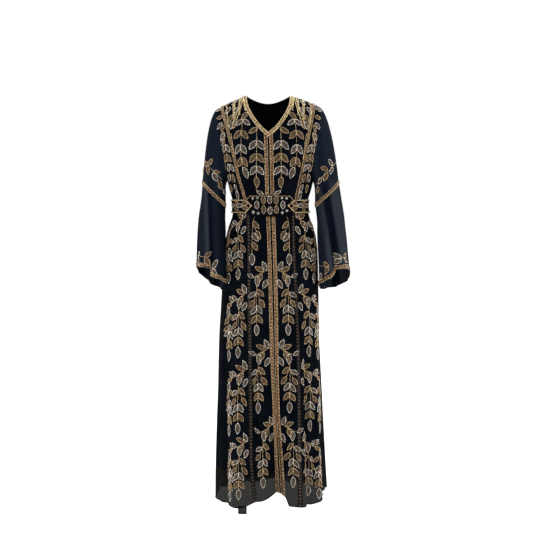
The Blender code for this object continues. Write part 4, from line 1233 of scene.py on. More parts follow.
def beaded_strip(region, points, outs, edge_kind, setting, shares=(0.1, 0.9), stone="brown_stones"):
    """Square stones down the middle of a strip, bars of beads between them, and a row of
    beads along each edge. points and outs hold the strip's lines, from one edge to the other."""
    pitch, half = setting
    for share in shares:
        places, axes = edge_line(points, outs, share, EDGE_PITCH)
        round_beads(edge_kind, region, places + axes[:, 2] * (RIBBON_HIGH + EDGE_LIFT), EDGE_BEAD)
    places, axes = edge_line(points, outs, 0.5, pitch)
    sizes = (half, half * STONE_SQUARE, STONE_HEIGHT)
    scatter(stone, region, SQUARE, places + axes[:, 2] * RIBBON_HIGH, axes, sizes)
    middles = places + axes[:, 1] * pitch / 2
    for shift in (-BAR_HALF, BAR_HALF):
        bars = middles + axes[:, 1] * shift + axes[:, 2] * (RIBBON_HIGH + BAR_LIFT)
        scatter(edge_kind, region, BEAD, bars, axes, (half * BAR_REACH, BAR_HALF, BAR_HALF))


def ribbon(name, points, outs, closed=False, finish=RIBBON):
    """The ribbon under a strip of beads."""
    strip = Grid(points, outs)
    points, faces = wall(strip, RIBBON_LOW, RIBBON_HIGH, closed)
    made = made_piece(f"{name}_ribbon", points, faces, finish, "gold_trim")
    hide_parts(name)


def neckband(centres, backs):
    front_count = centres["left"].neck_columns
    back_count = backs["left"].neck_columns

    def half(side):
        front, back = centres[side], backs[side]
        columns = [single(front, c) for c in range(front_count - 1)]
        columns.append(middle(front, front_count - 1, back, back_count - 1))
        columns += [single(back, c) for c in range(back_count - 2, 0, -1)]
        return columns

    top = middle(backs["right"], 0, backs["left"], 0)
    ring = stacked(half("right") + [top] + half("left")[::-1])
    points, outs = (part[:, :2].transpose(1, 0, 2) for part in (ring.points, ring.outs))
    ribbon("neckband", points, outs)
    beaded_strip("neck", points, outs, "bright_beads", NECK_STONES, NECK_ROWS)


def placket_trim(side, centre):
    points, outs = centre.points[1:3, 1:].copy(), centre.outs[1:3, 1:]
    points[:, 0] += unit(points[:, 1] - points[:, 0]) * SEAM_GAP * 2
    ribbon(f"placket_{side}", points, outs)
    beaded_strip("plackets", points, outs, "gold_beads", PLACKET_STONES)


def seam_trim(side, centre, outer):
    """The trim over a front seam: gold above the belt, and nearly black below it."""
    last = len(centre.points) - 1
    grid = stacked([single(centre, last - 1), middle(centre, last, outer, 0), single(outer, 1)])
    points, outs = grid.points[:, 1:], grid.outs[:, 1:]
    ribbon(f"princess_{side}", points, outs, finish=DARK_RIBBON)
    waist = int(np.argmax(points[1, :, 2] < BELT_MID_Z))
    high = points[:, : waist + 1], outs[:, : waist + 1]
    beaded_strip("bodice_seams", *high, "gold_beads", BODICE_SEAM_STONES)
    low = points[:, waist:], outs[:, waist:]
    beaded_strip("skirt_seams", *low, "dark_beads", SKIRT_SEAM_STONES, stone="dark_stones")


def band(name, points, outs, region):
    """A closed ribbon round a sleeve, with its beads and stones."""
    ribbon(name, points, outs, closed=True)
    lines = (np.concatenate([part, part[:1]]).transpose(1, 0, 2) for part in (points, outs))
    beaded_strip(region, *lines, "gold_beads", BAND_STONES)


# Cloth

Cut = namedtuple("Cut", "width length area")


def cloth(name, grid, finish, slot, nodes, closed=False):
    """A thin shell of cloth that stands for its solids."""
    made = made_piece(name, *wall(grid, CLOTH - SHELL, CLOTH, closed), finish, slot)
    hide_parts(*nodes)
    return made


FLAP_X = -0.079
FLAP_WIDTH = 0.020
FLAP_TOP_Z = -1.356
FLAP_LOW_Z = -1.382
FLAP_COLUMNS, FLAP_ROWS = 7, 8
FLAP_DEPTHS = (2.2, 1.2)  # of its two faces, in thicknesses of the cloth's shell
ROLL_RADIUS = 0.0017
ROLL_SIDES = 6
ALLOWANCE_DEPTHS = (0.0009, 0.0002)  # of the seam allowance's two faces, inside the cloth's shell


def rolled_hem(name, points, outs):
    """A thin roll of cloth along an edge: a round section swept along its line."""
    along = unit(np.gradient(points, axis=0))
    low = np.cross(along, outs)
    turns = np.arange(ROLL_SIDES)[:, None] / ROLL_SIDES * 2 * np.pi
    rings = points[:, None] + outs[:, None] * (CLOTH - SHELL / 2)
    rings = rings + ROLL_RADIUS * (np.cos(turns) * outs[:, None] + np.sin(turns) * low[:, None])
    index = np.arange(len(points) * ROLL_SIDES).reshape(-1, ROLL_SIDES)
    after = np.roll(index, -1, 1)
    quads = np.stack([index[:-1], after[:-1], after[1:], index[1:]], -1).reshape(-1, 4)
    end = np.array([[0, 1, 2, 3], [0, 3, 4, 5]])
    faces = np.concatenate([quads, index[0][end[:, ::-1]], index[-1][end]])
    made_piece(name, rings.reshape(-1, 3), faces, ROLLED, "cloth")


def back_seam(backs):
    """The seam allowance inside the seam down the middle of the back."""
    right, left = backs["right"], backs["left"]
    strip = stacked([single(right, 1), middle(right, 0, left, 0), single(left, 1)])
    low, high = (CLOTH - SHELL - depth for depth in ALLOWANCE_DEPTHS)
    made_piece("back_seam", *wall(strip, low, high), SKIRT_CLOTH, "cloth")


def hem_flap():
    """The small flap of hem that hangs lowest on the left."""
    x = np.linspace(FLAP_X - FLAP_WIDTH / 2, FLAP_X + FLAP_WIDTH / 2, FLAP_COLUMNS)
    z = np.linspace(FLAP_TOP_Z, FLAP_LOW_Z, FLAP_ROWS)
    points, outs = body(theta_of_x(x, FLAP_TOP_Z), FLAP_TOP_Z)
    points = np.repeat(points[:, None], len(z), 1)
    points[..., 2] = z
    outs = unit(outs * (1, 1, 0))
    grid = Grid(points, np.repeat(outs[:, None], len(z), 1))
    low, high = (CLOTH - depth * SHELL for depth in FLAP_DEPTHS)
    made_piece("hem_flap", *wall(grid, low, high), SKIRT_CLOTH, "cloth")
    rolled_hem("hem_of_flap", grid.points[:, -1], grid.outs[:, -1])
    for k, name in ((0, "left"), (-1, "right")):
        rolled_hem(f"flap_edge_{name}", grid.points[k], grid.outs[k])


def sleeve(side, front, back):
    upper, lower = upper_sleeve(side, front, back), lower_sleeve(side)
    for name, grid in (("sleeve_upper", upper), ("sleeve_lower", lower)):
        node = f"{name}_{side}"
        cloth(node + "_cloth", grid, SLEEVE_CLOTH[side], "sleeve_cloth", [node], True)
    points = [upper.points[:, -2], (upper.points[:, -1] + lower.points[:, 0]) / 2, lower.points[:, 1]]
    outs = [upper.outs[:, -2], upper.outs[:, -1], lower.outs[:, 1]]
    band(f"elbow_band_{side}", np.stack(points, 1), np.stack(outs, 1), f"sleeve_{side}")
    band(f"cuff_band_{side}", lower.points[:, -3:-1], lower.outs[:, -3:-1], f"sleeve_{side}")
    return upper


# Belt

BELT_X = 0.005
BELT_MID_Z = -0.3655
BELT_LIFT = 0.0050  # of the inner face of the belt's front
BELT_THICK = 0.0012
BELT_FRONT_HALF = 0.088
BELT_FRONT_OPEN = 0.060
BELT_FRONT_TOP = 0.034
BELT_FRONT_LOW = 0.036
BELT_STRAP_TOP = 0.020
BELT_STRAP_LOW = 0.025
BELT_TAB_TIP = 0.057
BELT_TAB_POINT = 0.022
BELT_SIDE = 0.175
BELT_SETTLE = 0.030
STRAP_LIFT = BELT_LIFT + 0.0023  # where it lies over the front
STRAP_OVERLAP = 0.004  # how far a strap stays up beyond the front's end
BELT_NARROWER = 0.003  # how much less high the front is under the straps
BELT_TAB_START = 0.026
BELT_TAB_LENGTH = 0.118
BELT_TAB_BLUNT = 0.04
BELT_FRONT_COLUMNS, BELT_TAB_COLUMNS, BELT_BACK_COLUMNS = 61, (12, 24), 90
BELT_FRONT_ROWS, BELT_STRAP_ROWS = 14, 8
WAIST_STEPS = 720  # in a turn round the waist, where lengths along it are added up
BELT_INSETS = (0.0012, 0.0036)  # from a piece's edge to its two rows of beads
BELT_BEAD_PITCH = 0.0024
BELT_BEAD_LIFT = 0.0008
FRONT_BEAD, STRAP_BEAD = 0.00105, 0.00115


def waist_angle(along):
    """The body's angle at a distance along the waist from the belt's middle."""
    angles = np.linspace(-2 * np.pi, 2 * np.pi, 2 * WAIST_STEPS + 1)
    length = np.cumsum(metres_per_radian(angles, BELT_MID_Z) * (angles[1] - angles[0]))
    middle_at = np.interp(float(theta_of_x(BELT_X, BELT_MID_Z)), angles, length)
    return np.interp(along, length - middle_at, angles)


def belt_grid(along, top, low, rows):
    up = top[:, None] - (top + low)[:, None] * np.arange(rows + 1) / rows
    points, outs = body(waist_angle(along)[:, None] + 0 * up, BELT_MID_Z + up)
    return Grid(points, outs)


def on_belt(lift):
    def at(along, up):
        points, outs = body(waist_angle(along), BELT_MID_Z + up)
        return points + outs * lift, outs

    return at


def strap_lift(along):
    """Height of a strap, which settles onto the cloth beyond the belt's front."""
    over = 1 - ease((along - BELT_FRONT_HALF - STRAP_OVERLAP) / BELT_SETTLE)
    return BELT_LIFT + over * (STRAP_LIFT - BELT_LIFT)


def belt_beads(kind, grid, row, lift, inset, radius):
    """A row of beads inside an edge of a belt piece. Row 0 is its upper edge, -1 its lower."""
    step = unit(grid.points[:, 1] - grid.points[:, 0]) * inset * (1 if row == 0 else -1)
    high = lift + BELT_THICK + BELT_BEAD_LIFT
    line = evenly(grid.points[:, row] + step + grid.outs[:, row] * high, BELT_BEAD_PITCH)
    round_beads(kind, "belt", line, radius)


def belt_front():
    along = np.linspace(-BELT_FRONT_HALF, BELT_FRONT_HALF, BELT_FRONT_COLUMNS)
    narrow = ease((np.abs(along) - BELT_FRONT_OPEN) / BELT_TAB_POINT)
    top = BELT_FRONT_TOP + (BELT_STRAP_TOP - BELT_NARROWER - BELT_FRONT_TOP) * narrow
    low = BELT_FRONT_LOW + (BELT_STRAP_LOW - BELT_NARROWER - BELT_FRONT_LOW) * narrow
    grid = belt_grid(along, top, low, BELT_FRONT_ROWS)
    points, faces = wall(grid, BELT_LIFT, BELT_LIFT + BELT_THICK)
    made = made_piece("belt_front", points, faces, VELVET, "belt_cloth")
    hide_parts("belt_centre")
    for inset, kind in zip(BELT_INSETS, ("bronze_beads", "gold_beads")):
        belt_beads(kind, grid, 0, BELT_LIFT, inset, FRONT_BEAD)


def belt_strap(side):
    sign = SIDES[side]
    point, rest = BELT_TAB_COLUMNS
    spans = [np.linspace(0, BELT_TAB_POINT, point), np.linspace(BELT_TAB_START, BELT_TAB_LENGTH, rest)]
    along = BELT_TAB_TIP + np.concatenate(spans)
    wide = np.clip((along - BELT_TAB_TIP) / BELT_TAB_POINT, BELT_TAB_BLUNT, 1)
    grid = belt_grid(sign * along, BELT_STRAP_TOP * wide, BELT_STRAP_LOW * wide, BELT_STRAP_ROWS)
    lift = strap_lift(along)[:, None]
    made = made_piece(f"belt_tab_{side}", *wall(grid, lift, lift + BELT_THICK), VELVET, "belt_cloth")
    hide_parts(f"belt_{side}")
    for row in (0, -1):
        for inset in BELT_INSETS:
            belt_beads("gold_beads", grid, row, lift, inset, STRAP_BEAD)


def belt_back():
    angles = np.linspace(-np.pi, np.pi, WAIST_STEPS + 1)
    total = 2 * np.pi * metres_per_radian(angles, BELT_MID_Z)[1:].mean()
    along = np.linspace(BELT_SIDE + SEAM_GAP, total - BELT_SIDE - SEAM_GAP, BELT_BACK_COLUMNS)
    flat = np.ones_like(along)
    grid = belt_grid(along, BELT_STRAP_TOP * flat, BELT_STRAP_LOW * flat, BELT_STRAP_ROWS)
    points, faces = wall(grid, BELT_LIFT, BELT_LIFT + BELT_THICK)
    made = made_piece("belt_strap_back", points, faces, VELVET, "belt_cloth")
    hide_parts("belt_back")


# Where the leaves and stems lie

SPRAY_LEAVES = table_of(
    Leaf,
    (0.004, 0, 154, 0.031, "silver"), (0.014, 0.003, 114, 0.031, "gold"),
    (0.02, 0.012, 22, 0.032, "gold"), (0.002, 0.032, 26, 0.031, "silver"),
    (0.034, 0.02, -2, 0.034, "silver"), (0.046, 0.024, 118, 0.024, "silver"),
)
SPRAY_STEMS = (
    ((0, 0), (0.020, 0.008), (0.048, 0.026)),
    ((0.014, 0.006), (0.034, 0.028), (0.036, 0.062)),
)
CASCADE_AT = (0.036, 0.060)
CASCADE_LEAVES = table_of(
    Leaf,
    (-0.002, 0.004, -44, 0.03, "gold"), (0.003, 0.014, 58, 0.028, "silver"),
    (-0.01, 0.036, -32, 0.03, "gold"), (0.008, 0.04, 34, 0.027, "gold"),
    (-0.001, 0.056, -30, 0.031, "silver"), (0.001, 0.06, 34, 0.031, "silver"),
    (-0.001, 0.088, -34, 0.031, "gold"), (0.001, 0.09, 32, 0.031, "gold"),
    (0, 0.12, 0, 0.036, "silver"),
)
CASCADE_STEMS = (
    ((0, 0), (0.002, 0.055), (0, 0.120)),
    ((0, 0.008), (-0.006, 0.022), (-0.010, 0.036)),
    ((0, 0.012), (0.006, 0.026), (0.009, 0.042)),
)
FAR_AT = (0.078, 0.046)
FAR_STEMS = (
    ((0.046, 0.026), (0.066, 0.034), (0.078, 0.048)),
    ((0.060, 0.034), (0.066, 0.028), (0.078, 0.028)),
)
FAR_LEAVES = table_of(
    Leaf,
    (0.06, 0.034, 136, 0.026, "silver"), (0.066, 0.04, 70, 0.026, "gold"),
)
FAR_CASCADE_LEAVES = table_of(
    Leaf,
    (0.001, 0.006, 6, 0.033, "silver"), (-0.003, 0.03, -48, 0.027, "gold"),
    (0.002, 0.04, 36, 0.03, "gold"), (-0.001, 0.064, -26, 0.03, "silver"),
    (0.001, 0.072, 62, 0.029, "gold"), (0.001, 0.086, 54, 0.03, "silver"),
    (0, 0.088, 10, 0.031, "silver"), (-0.001, 0.086, -40, 0.03, "silver"),
    (-0.001, 0.116, -30, 0.03, "gold"), (0.001, 0.118, 22, 0.03, "gold"),
    (0, 0.15, 0, 0.036, "silver"),
)
FAR_CASCADE_STEMS = (
    ((0, 0), (0.002, 0.075), (0, 0.150)),
)
DROP_LEAVES = table_of(
    Leaf,
    (-0.003, 0.006, -40, 0.031, "gold"), (-0.014, 0.036, -26, 0.032, "gold"),
    (-0.003, 0.044, -30, 0.032, "silver"), (-0.002, 0.074, -32, 0.032, "gold"),
    (0, 0.112, -2, 0.037, "silver"),
)
DROP_STEMS = (
    ((-0.010, -0.012), (0.004, 0.004), (0.000, 0.112)),
    ((-0.001, 0.014), (-0.010, 0.024), (-0.014, 0.040)),
)

# Sprays that grow from the trims of the skirt, and how far the outer ones reach on each side
Spray = namedtuple("Spray", "trim z size reaches_far")
SPRAYS = table_of(
    Spray,
    ("placket", -0.576, 1.00, False),
    ("placket", -0.832, 1.00, False),
    ("placket", -1.088, 0.96, False),
    ("princess", -0.404, 0.95, True),
    ("princess", -0.652, 1.00, True),
    ("princess", -0.902, 1.00, True),
    ("princess", -1.140, 0.90, True),
)
Reach = namedtuple("Reach", "near far")
REACH = {"left": Reach(0.72, 0.76), "right": Reach(1.00, 0.84)}
NEAR = (SPRAY_LEAVES, SPRAY_STEMS, CASCADE_AT, CASCADE_LEAVES, CASCADE_STEMS)
FAR = (FAR_LEAVES, FAR_STEMS, FAR_AT, FAR_CASCADE_LEAVES, FAR_CASCADE_STEMS)
DROP_Z = -0.412
DROP_INSET = 0.013  # from the princess seam to the drop's stem

# Leaves of the bodice, mirrored about its middle: x is the distance from the middle
BODICE_MIDDLE = 0.0015
BodiceLeaf = namedtuple("BodiceLeaf", "x z angle length colour")
BODICE_LEAVES = table_of(
    BodiceLeaf,
    (0.037, -0.114, 60, 0.033, "gold"), (0.04, -0.272, 0, 0.037, "gold"),
    (0.038, -0.318, -58, 0.024, "silver"), (0.069, -0.062, 30, 0.034, "gold"),
    (0.081, -0.24, -16, 0.04, "silver"), (0.146, -0.126, 10, 0.028, "gold"),
    (0.151, -0.146, 20, 0.027, "silver"), (0.119, -0.262, -14, 0.03, "gold"),
    (0.13, -0.262, 16, 0.028, "silver"), (0.112, -0.296, -16, 0.029, "silver"),
    (0.126, -0.296, 8, 0.029, "gold"), (0.104, -0.318, 4, 0.03, "silver"),
    (0.156, -0.046, 68, 0.029, "silver"), (0.151, -0.074, 80, 0.028, "gold"),
    (0.152, -0.094, 46, 0.03, "silver"), (0.147, -0.1, 14, 0.026, "gold"),
    (0.143, -0.128, 50, 0.03, "silver"), (0.131, -0.028, 4, 0.02, "gold"),
    (0.127, -0.042, -3, 0.031, "silver"), (0.121, -0.07, 2, 0.028, "gold"),
    (0.118, -0.092, 8, 0.027, "silver"), (0.104, -0.02, 6, 0.026, "silver"),
    (0.101, -0.044, 8, 0.028, "silver"), (0.109, -0.09, 10, 0.027, "gold"),
)
LeafPair = namedtuple("LeafPair", "x z spread length colour")
BODICE_PAIRS = table_of(
    LeafPair,
    (0.0395, -0.156, 42, 0.037, "silver"), (0.0395, -0.198, 40, 0.036, "gold"),
    (0.0395, -0.238, 39, 0.036, "silver"), (0.083, -0.086, 50, 0.03, "silver"),
    (0.09, -0.122, 42, 0.036, "gold"), (0.091, -0.168, 34, 0.035, "silver"),
    (0.086, -0.209, 30, 0.034, "gold"), (0.14, -0.166, 30, 0.029, "silver"),
    (0.136, -0.198, 32, 0.029, "gold"), (0.128, -0.23, 32, 0.029, "silver"),
)
BODICE_STEMS = (
    ((0.0385, -0.104), (0.0395, -0.190), (0.0400, -0.275)),
    ((0.040, -0.306), (0.041, -0.314), (0.037, -0.320)),
    ((0.080, -0.085), (0.090, -0.105), (0.090, -0.180)),
    ((0.090, -0.180), (0.090, -0.220), (0.081, -0.254)),
    ((0.148, -0.120), (0.142, -0.170), (0.136, -0.205)),
    ((0.136, -0.205), (0.132, -0.250), (0.121, -0.290)),
    ((0.122, -0.130), (0.113, -0.190), (0.108, -0.240)),
    ((0.150, -0.150), (0.146, -0.200), (0.138, -0.250)),
)
# Lines of beads that fan over each shoulder, from the seam on top down to their ends
SHOULDER_LINES = (
    ((0.083, -0.008), (0.090, -0.046), (0.106, -0.092)),
    ((0.090, -0.010), (0.096, -0.040), (0.107, -0.074)),
    ((0.097, -0.012), (0.097, -0.050), (0.094, -0.070)),
    ((0.116, -0.016), (0.117, -0.060), (0.111, -0.112)),
    ((0.112, -0.014), (0.112, -0.050), (0.109, -0.086)),
    ((0.139, -0.026), (0.138, -0.060), (0.130, -0.110)),
    ((0.081, -0.010), (0.080, -0.036), (0.076, -0.056)),
)
SHOULDER_LINE_HALF = 0.0012  # between the middle of such a line and each of its two rows
STEM_BEAD = 0.0010
BODICE_BEAD = 0.0011
BEAD_STEP, BEAD_SEAT = 2.15, 0.7  # pitch along a stem and height of a bead's middle, in radii
STEM_GAP = 0.001  # from a trim to the start of a spray
PAIR_GAP = 0.001  # from the middle of a pair of leaves to each of them

# Leaves of the sleeves: angle round the sleeve, and share down the upper sleeve or height
SleeveLeaf = namedtuple("SleeveLeaf", "phi along angle length colour")
ELBOW_LEAVES = {
    "left": table_of(
        SleeveLeaf,
        (61, 0.663, 150, 0.026, "gold"), (56, 0.69, -122, 0.026, "gold"),
        (52, 0.704, 21, 0.032, "gold"), (87, 0.648, 120, 0.022, "gold"),
        (85, 0.658, 21, 0.033, "silver"), (115, 0.6, 10, 0.034, "gold"),
        (140, 0.64, 50, 0.028, "silver"), (22, 0.794, 4, 0.024, "gold"),
    ),
    "right": table_of(
        SleeveLeaf,
        (57, 0.7, -150, 0.028, "silver"), (58, 0.715, -32, 0.026, "silver"),
        (84, 0.64, -133, 0.026, "gold"), (86, 0.655, -17, 0.032, "gold"),
        (111, 0.583, -26, 0.026, "silver"), (132, 0.62, -20, 0.028, "gold"),
    ),
}
CUFF_LEAVES = {
    "left": table_of(
        SleeveLeaf,
        (21, -0.535, 114, 0.034, "silver"), (21, -0.537, 71, 0.034, "silver"),
        (72, -0.535, 139, 0.026, "gold"), (72, -0.537, 30, 0.03, "gold"),
        (100, -0.571, 150, 0.034, "silver"), (100, -0.573, 38, 0.03, "silver"),
    ),
    "right": table_of(
        SleeveLeaf,
        (68, -0.538, -118, 0.035, "silver"), (69, -0.54, -58, 0.032, "silver"),
        (61, -0.536, 108, 0.036, "gold"), (60, -0.539, 64, 0.034, "silver"),
        (110, -0.564, -105, 0.04, "gold"), (111, -0.566, -37, 0.036, "gold"),
        (150, -0.59, -3, 0.026, "silver"),
    ),
}
ELBOW_STEMS = {
    "left": (((25, 0.69), (62, 0.70), (87, 0.628)), ((87, 0.628), (106, 0.58), (125, 0.50))),
    "right": (((11, 0.72), (60, 0.74), (91, 0.650)), ((91, 0.650), (120, 0.57), (146, 0.46))),
}
CUFF_STEMS = {
    "left": (((21, -0.534), (46, -0.528), (73, -0.535)), ((84, -0.560), (92, -0.566), (100, -0.571))),
    "right": (((58, -0.536), (64, -0.534), (70, -0.536)), ((111, -0.565), (138, -0.562), (165, -0.572))),
}


def curve(start, bend, end, count=24):
    """A smooth line from start to end that bends towards a third point."""
    t = np.linspace(0, 1, count)[:, None]
    return (1 - t) ** 2 * np.array(start) + 2 * t * (1 - t) * np.array(bend) + t * t * np.array(end)


def beads_over(kind, region, surface, a, b, radius=STEM_BEAD):
    """A row of beads over a line of places on the cloth."""
    places = evenly(np.concatenate(surface(a, b), 1), radius * BEAD_STEP)
    round_beads(kind, region, places[:, :3] + places[:, 3:] * radius * BEAD_SEAT, radius)


def front_leaf(region, x, z, angle, length, colour):
    leaf(region, on_body, theta_of_x(x, z), z, angle, length, colour)


def motif(region, side, x, z, leaves, stems, size=1.0, reach=1.0):
    """Leaves and stems at their distances from a place on the front, mirrored on the left."""
    sign = SIDES[side]
    for part in leaves:
        at_x = x + sign * part.out * size * reach
        at_z = z - part.down * size
        front_leaf(region, at_x, at_z, sign * part.angle, part.length * size**0.5, part.colour)
    for ends in stems:
        line = curve(*ends) * size
        at_x, at_z = x + sign * line[:, 0] * reach, z - line[:, 1]
        beads_over("gold_beads", region, on_body, theta_of_x(at_x, at_z), at_z)


def skirt_leaves(side):
    sign, reach = SIDES[side], REACH[side]
    region = f"skirt_{side}"
    for spray in SPRAYS:
        inner = spray.trim == "placket"
        if inner:
            x = seam_x["placket"](spray.z) + sign * (PLACKET_INSET + TRIM_WIDTH)
            x = x + sign * STEM_GAP
        else:
            x = seam_x[side](spray.z) + sign * (TRIM_WIDTH / 2 + STEM_GAP)
        growths = [(NEAR, 1.0 if inner else reach.near)]
        growths += [(FAR, reach.far)] if spray.reaches_far else []
        for (leaves, stems, at, *cascade), width in growths:
            motif(region, side, x, spray.z, leaves, stems, spray.size, width)
            out, down = np.array(at) * spray.size
            motif(region, side, x + sign * out * width, spray.z - down, *cascade, spray.size)
    drop_x = seam_x[side](DROP_Z) - sign * DROP_INSET
    motif(region, side, drop_x, DROP_Z, DROP_LEAVES, DROP_STEMS)


def bodice_leaves(side):
    sign = SIDES[side]
    region = "bodice"
    for part in BODICE_LEAVES:
        x = BODICE_MIDDLE + sign * part.x
        front_leaf(region, x, part.z, sign * part.angle, part.length, part.colour)
    for part in BODICE_PAIRS:
        for angle in (-part.spread, part.spread):
            x = BODICE_MIDDLE + sign * part.x + PAIR_GAP * np.sign(angle)
            front_leaf(region, x, part.z, angle, part.length, part.colour)
    lines = [("gold_beads", curve(*ends)) for ends in BODICE_STEMS]
    for ends in SHOULDER_LINES:
        for shift in (-SHOULDER_LINE_HALF, SHOULDER_LINE_HALF):
            lines.append(("bright_beads", curve(*ends) + (shift, 0)))
    for kind, line in lines:
        x = BODICE_MIDDLE + sign * line[:, 0]
        beads_over(kind, region, on_body, theta_of_x(x, line[:, 1]), line[:, 1], BODICE_BEAD)


def sleeve_leaves(side, upper):
    """Leaves and stems over the elbow and the cuff, in front and in the same way behind."""
    region = f"sleeve_{side}"
    places = (
        (on_grid(upper), ELBOW_LEAVES[side], ELBOW_STEMS[side]),
        (on_sleeve(side), CUFF_LEAVES[side], CUFF_STEMS[side]),
    )
    for surface, leaves, stems in places:
        for sense in (1, -1):
            for part in leaves:
                phi = sense * np.radians(part.phi)
                leaf(region, surface, phi, part.along, sense * part.angle, part.length, part.colour)
            for ends in stems:
                phi, along = curve(*ends).T
                beads_over("gold_beads", region, surface, sense * np.radians(phi), along)


# Jewels of the belt

Jewel = namedtuple("Jewel", "along up half_width half_height shape colour")
JEWELS = table_of(
    Jewel,
    (0, 0.019, 0.008, 0.0148, "navette", "silver"), (0.02, 0.018, 0.008, 0.014, "navette", "gold"),
    (-0.02, 0.018, 0.008, 0.014, "navette", "gold"), (0, -0.016, 0.008, 0.014, "navette", "silver"),
    (0.02, -0.013, 0.008, 0.0145, "navette", "gold"), (-0.02, -0.013, 0.008, 0.0145, "navette", "gold"),
    (0.0415, 0.002, 0.008, 0.015, "navette", "silver"), (-0.0415, 0.002, 0.008, 0.015, "navette", "silver"),
    (0.038, 0.025, 0.0044, 0.0046, "round", "silver"), (-0.038, 0.025, 0.0044, 0.0046, "round", "silver"),
    (0.053, 0.0235, 0.0044, 0.0046, "round", "silver"), (-0.053, 0.0235, 0.0044, 0.0046, "round", "silver"),
    (0.038, -0.0235, 0.005, 0.005, "round", "silver"), (-0.038, -0.025, 0.005, 0.005, "round", "gold"),
    (0.054, -0.017, 0.005, 0.0046, "round", "silver"), (-0.054, -0.022, 0.005, 0.006, "round", "silver"),
)
JEWEL_POINTS = 41
JEWEL_POINTED = 1.35
JEWEL_RIM = 0.9  # of the jewel's size
JEWEL_PITCH, JEWEL_BEAD, JEWEL_BEAD_LIFT = 0.0023, 0.0012, 0.0009
JEWEL_LIFT = 0.0002
PALE_HEIGHT = 0.0028
# The two stones of a ringed jewel, by their share of its width and height, and how far they rise
JEWEL_STONES = (("dark_stones", 0.68, 0.70, 0.0014), ("brown_stones", 0.30, 0.34, 0.0032))
TAB_LEAVES = (
    (0.092, 0.001, -112, 0.028, "gold"),
    (0.092, -0.002, -68, 0.028, "gold"),
    (0.092, 0.000, 90, 0.028, "silver"),
    (0.130, 0.003, -130, 0.024, "gold"),
    (0.130, -0.003, -50, 0.024, "gold"),
    (0.134, 0.000, 90, 0.026, "silver"),
)


def jewel(part):
    """A ring of beads round a dark stone, or a small pale stone alone, on the belt's front."""
    surface = on_belt(BELT_LIFT + BELT_THICK)
    place = surface, part.along, part.up
    centre, axes = spread(*place, np.zeros(1), np.zeros(1), np.full(1, JEWEL_LIFT))
    if part.shape == "round":
        size = (part.half_width, part.half_height, PALE_HEIGHT)
        scatter("clear_stones", "belt", ROUND, centre, axes, size)
        return
    turn = np.linspace(0, 2 * np.pi, JEWEL_POINTS)
    across = np.sign(np.sin(turn)) * np.abs(np.sin(turn)) ** JEWEL_POINTED
    outline = np.stack([across * part.half_width, np.cos(turn) * part.half_height], 1)
    ring = evenly(outline * JEWEL_RIM, JEWEL_PITCH)
    rim, _ = spread(*place, ring[:, 0], ring[:, 1], np.full(len(ring), JEWEL_BEAD_LIFT))
    round_beads(f"{part.colour}_beads", "belt", rim, JEWEL_BEAD)
    for kind, wide, tall, high in JEWEL_STONES:
        size = (part.half_width * wide, part.half_height * tall, high)
        scatter(kind, "belt", NAVETTE, centre, axes, size)


def belt_jewels():
    for part in JEWELS:
        jewel(part)
    for sign in SIDES.values():
        for along, up, angle, length, colour in TAB_LEAVES:
            surface = on_belt(float(strap_lift(along)) + BELT_THICK)
            leaf("belt", surface, sign * along, up, sign * angle, length, colour)


# Stage

LAMP_AIM = (0, 0, -0.6)
LAMPS = (
    ("key", (-1.6, -2.8, 1.4), 1.6, 60),
    ("fill", (2.2, -2.4, 0.4), 1.8, 30),
    ("rim", (0.6, 2.6, 1.6), 1.6, 40),
)


def placed(name, data, at, aim):
    """Puts a lamp or the camera at a place and aims it at another."""
    holder = bpy.data.objects.new(name, data)
    holder.location = at
    holder.rotation_euler = (Vector(aim) - Vector(at)).to_track_quat("-Z", "Y").to_euler()
    bpy.context.scene.collection.objects.link(holder)
    return holder


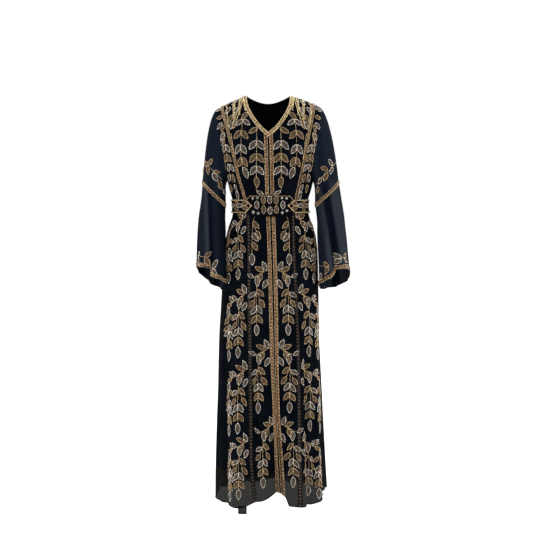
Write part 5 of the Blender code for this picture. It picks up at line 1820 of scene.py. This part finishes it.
def stage():
    floor = bpy.data.meshes.new("floor")
    half = FLOOR_SIZE / 2
    corners = [(half * x, half * y, FLOOR_Z) for x, y in ((-1, -1), (1, -1), (1, 1), (-1, 1))]
    floor.from_pydata(corners, [], [(0, 1, 2, 3)])
    glow = {"Specular IOR Level": 0.0, "Emission Color": (1, 1, 1, 1), "Emission Strength": 0.25}
    floor.materials.append(material("pale floor", (0.96, 0.96, 0.96), 0.9, more=glow))
    plane = bpy.data.objects.new("floor", floor)
    bpy.context.scene.collection.objects.link(plane)
    world = bpy.data.worlds.new("studio")
    world.use_nodes = True
    background = world.node_tree.nodes["Background"]
    background.inputs["Color"].default_value = (1, 1, 1, 1)
    background.inputs["Strength"].default_value = 1.0
    bpy.context.scene.world = world
    bpy.context.scene.view_settings.view_transform = "Standard"
    for name, at, size, power in LAMPS:
        lamp = bpy.data.lights.new(name, "AREA")
        lamp.size = size
        lamp.energy = power
        placed(name, lamp, at, LAMP_AIM)


def camera():
    lens = bpy.data.cameras.new("camera")
    lens.angle = np.radians(CAMERA_ANGLE)
    bpy.context.scene.camera = placed("camera", lens, CAMERA_AT, CAMERA_AIM)


# The dress

def dress():
    centres = {side: front_centre(side) for side in SIDES}
    sides = {side: front_side(side) for side in SIDES}
    backs = {side: back_half(side) for side in SIDES}
    uppers = {}
    for side in SIDES:
        for part, grids in (("centre", centres), ("side", sides), ("back", backs)):
            nodes = [f"bodice_{part}_{side}", f"skirt_{part}_{side}"]
            nodes += [f"{part}_gore_{side}"] if part != "centre" else []
            grid = grids[side]
            cloth(f"panel_{part}_{side}", grid, SKIRT_CLOTH, "cloth", nodes)
            rolled_hem(f"hem_{part}_{side}", grid.points[:, -1], grid.outs[:, -1])
        placket_trim(side, centres[side])
        seam_trim(side, centres[side], sides[side])
        uppers[side] = sleeve(side, sides[side], backs[side])
        belt_strap(side)
    back_seam(backs)
    hem_flap()
    neckband(centres, backs)
    belt_front()
    belt_back()
    return uppers


camera()
stage()
uppers = dress()
for side in SIDES:
    skirt_leaves(side)
    bodice_leaves(side)
    sleeve_leaves(side, uppers[side])
belt_jewels()
make_heaps()
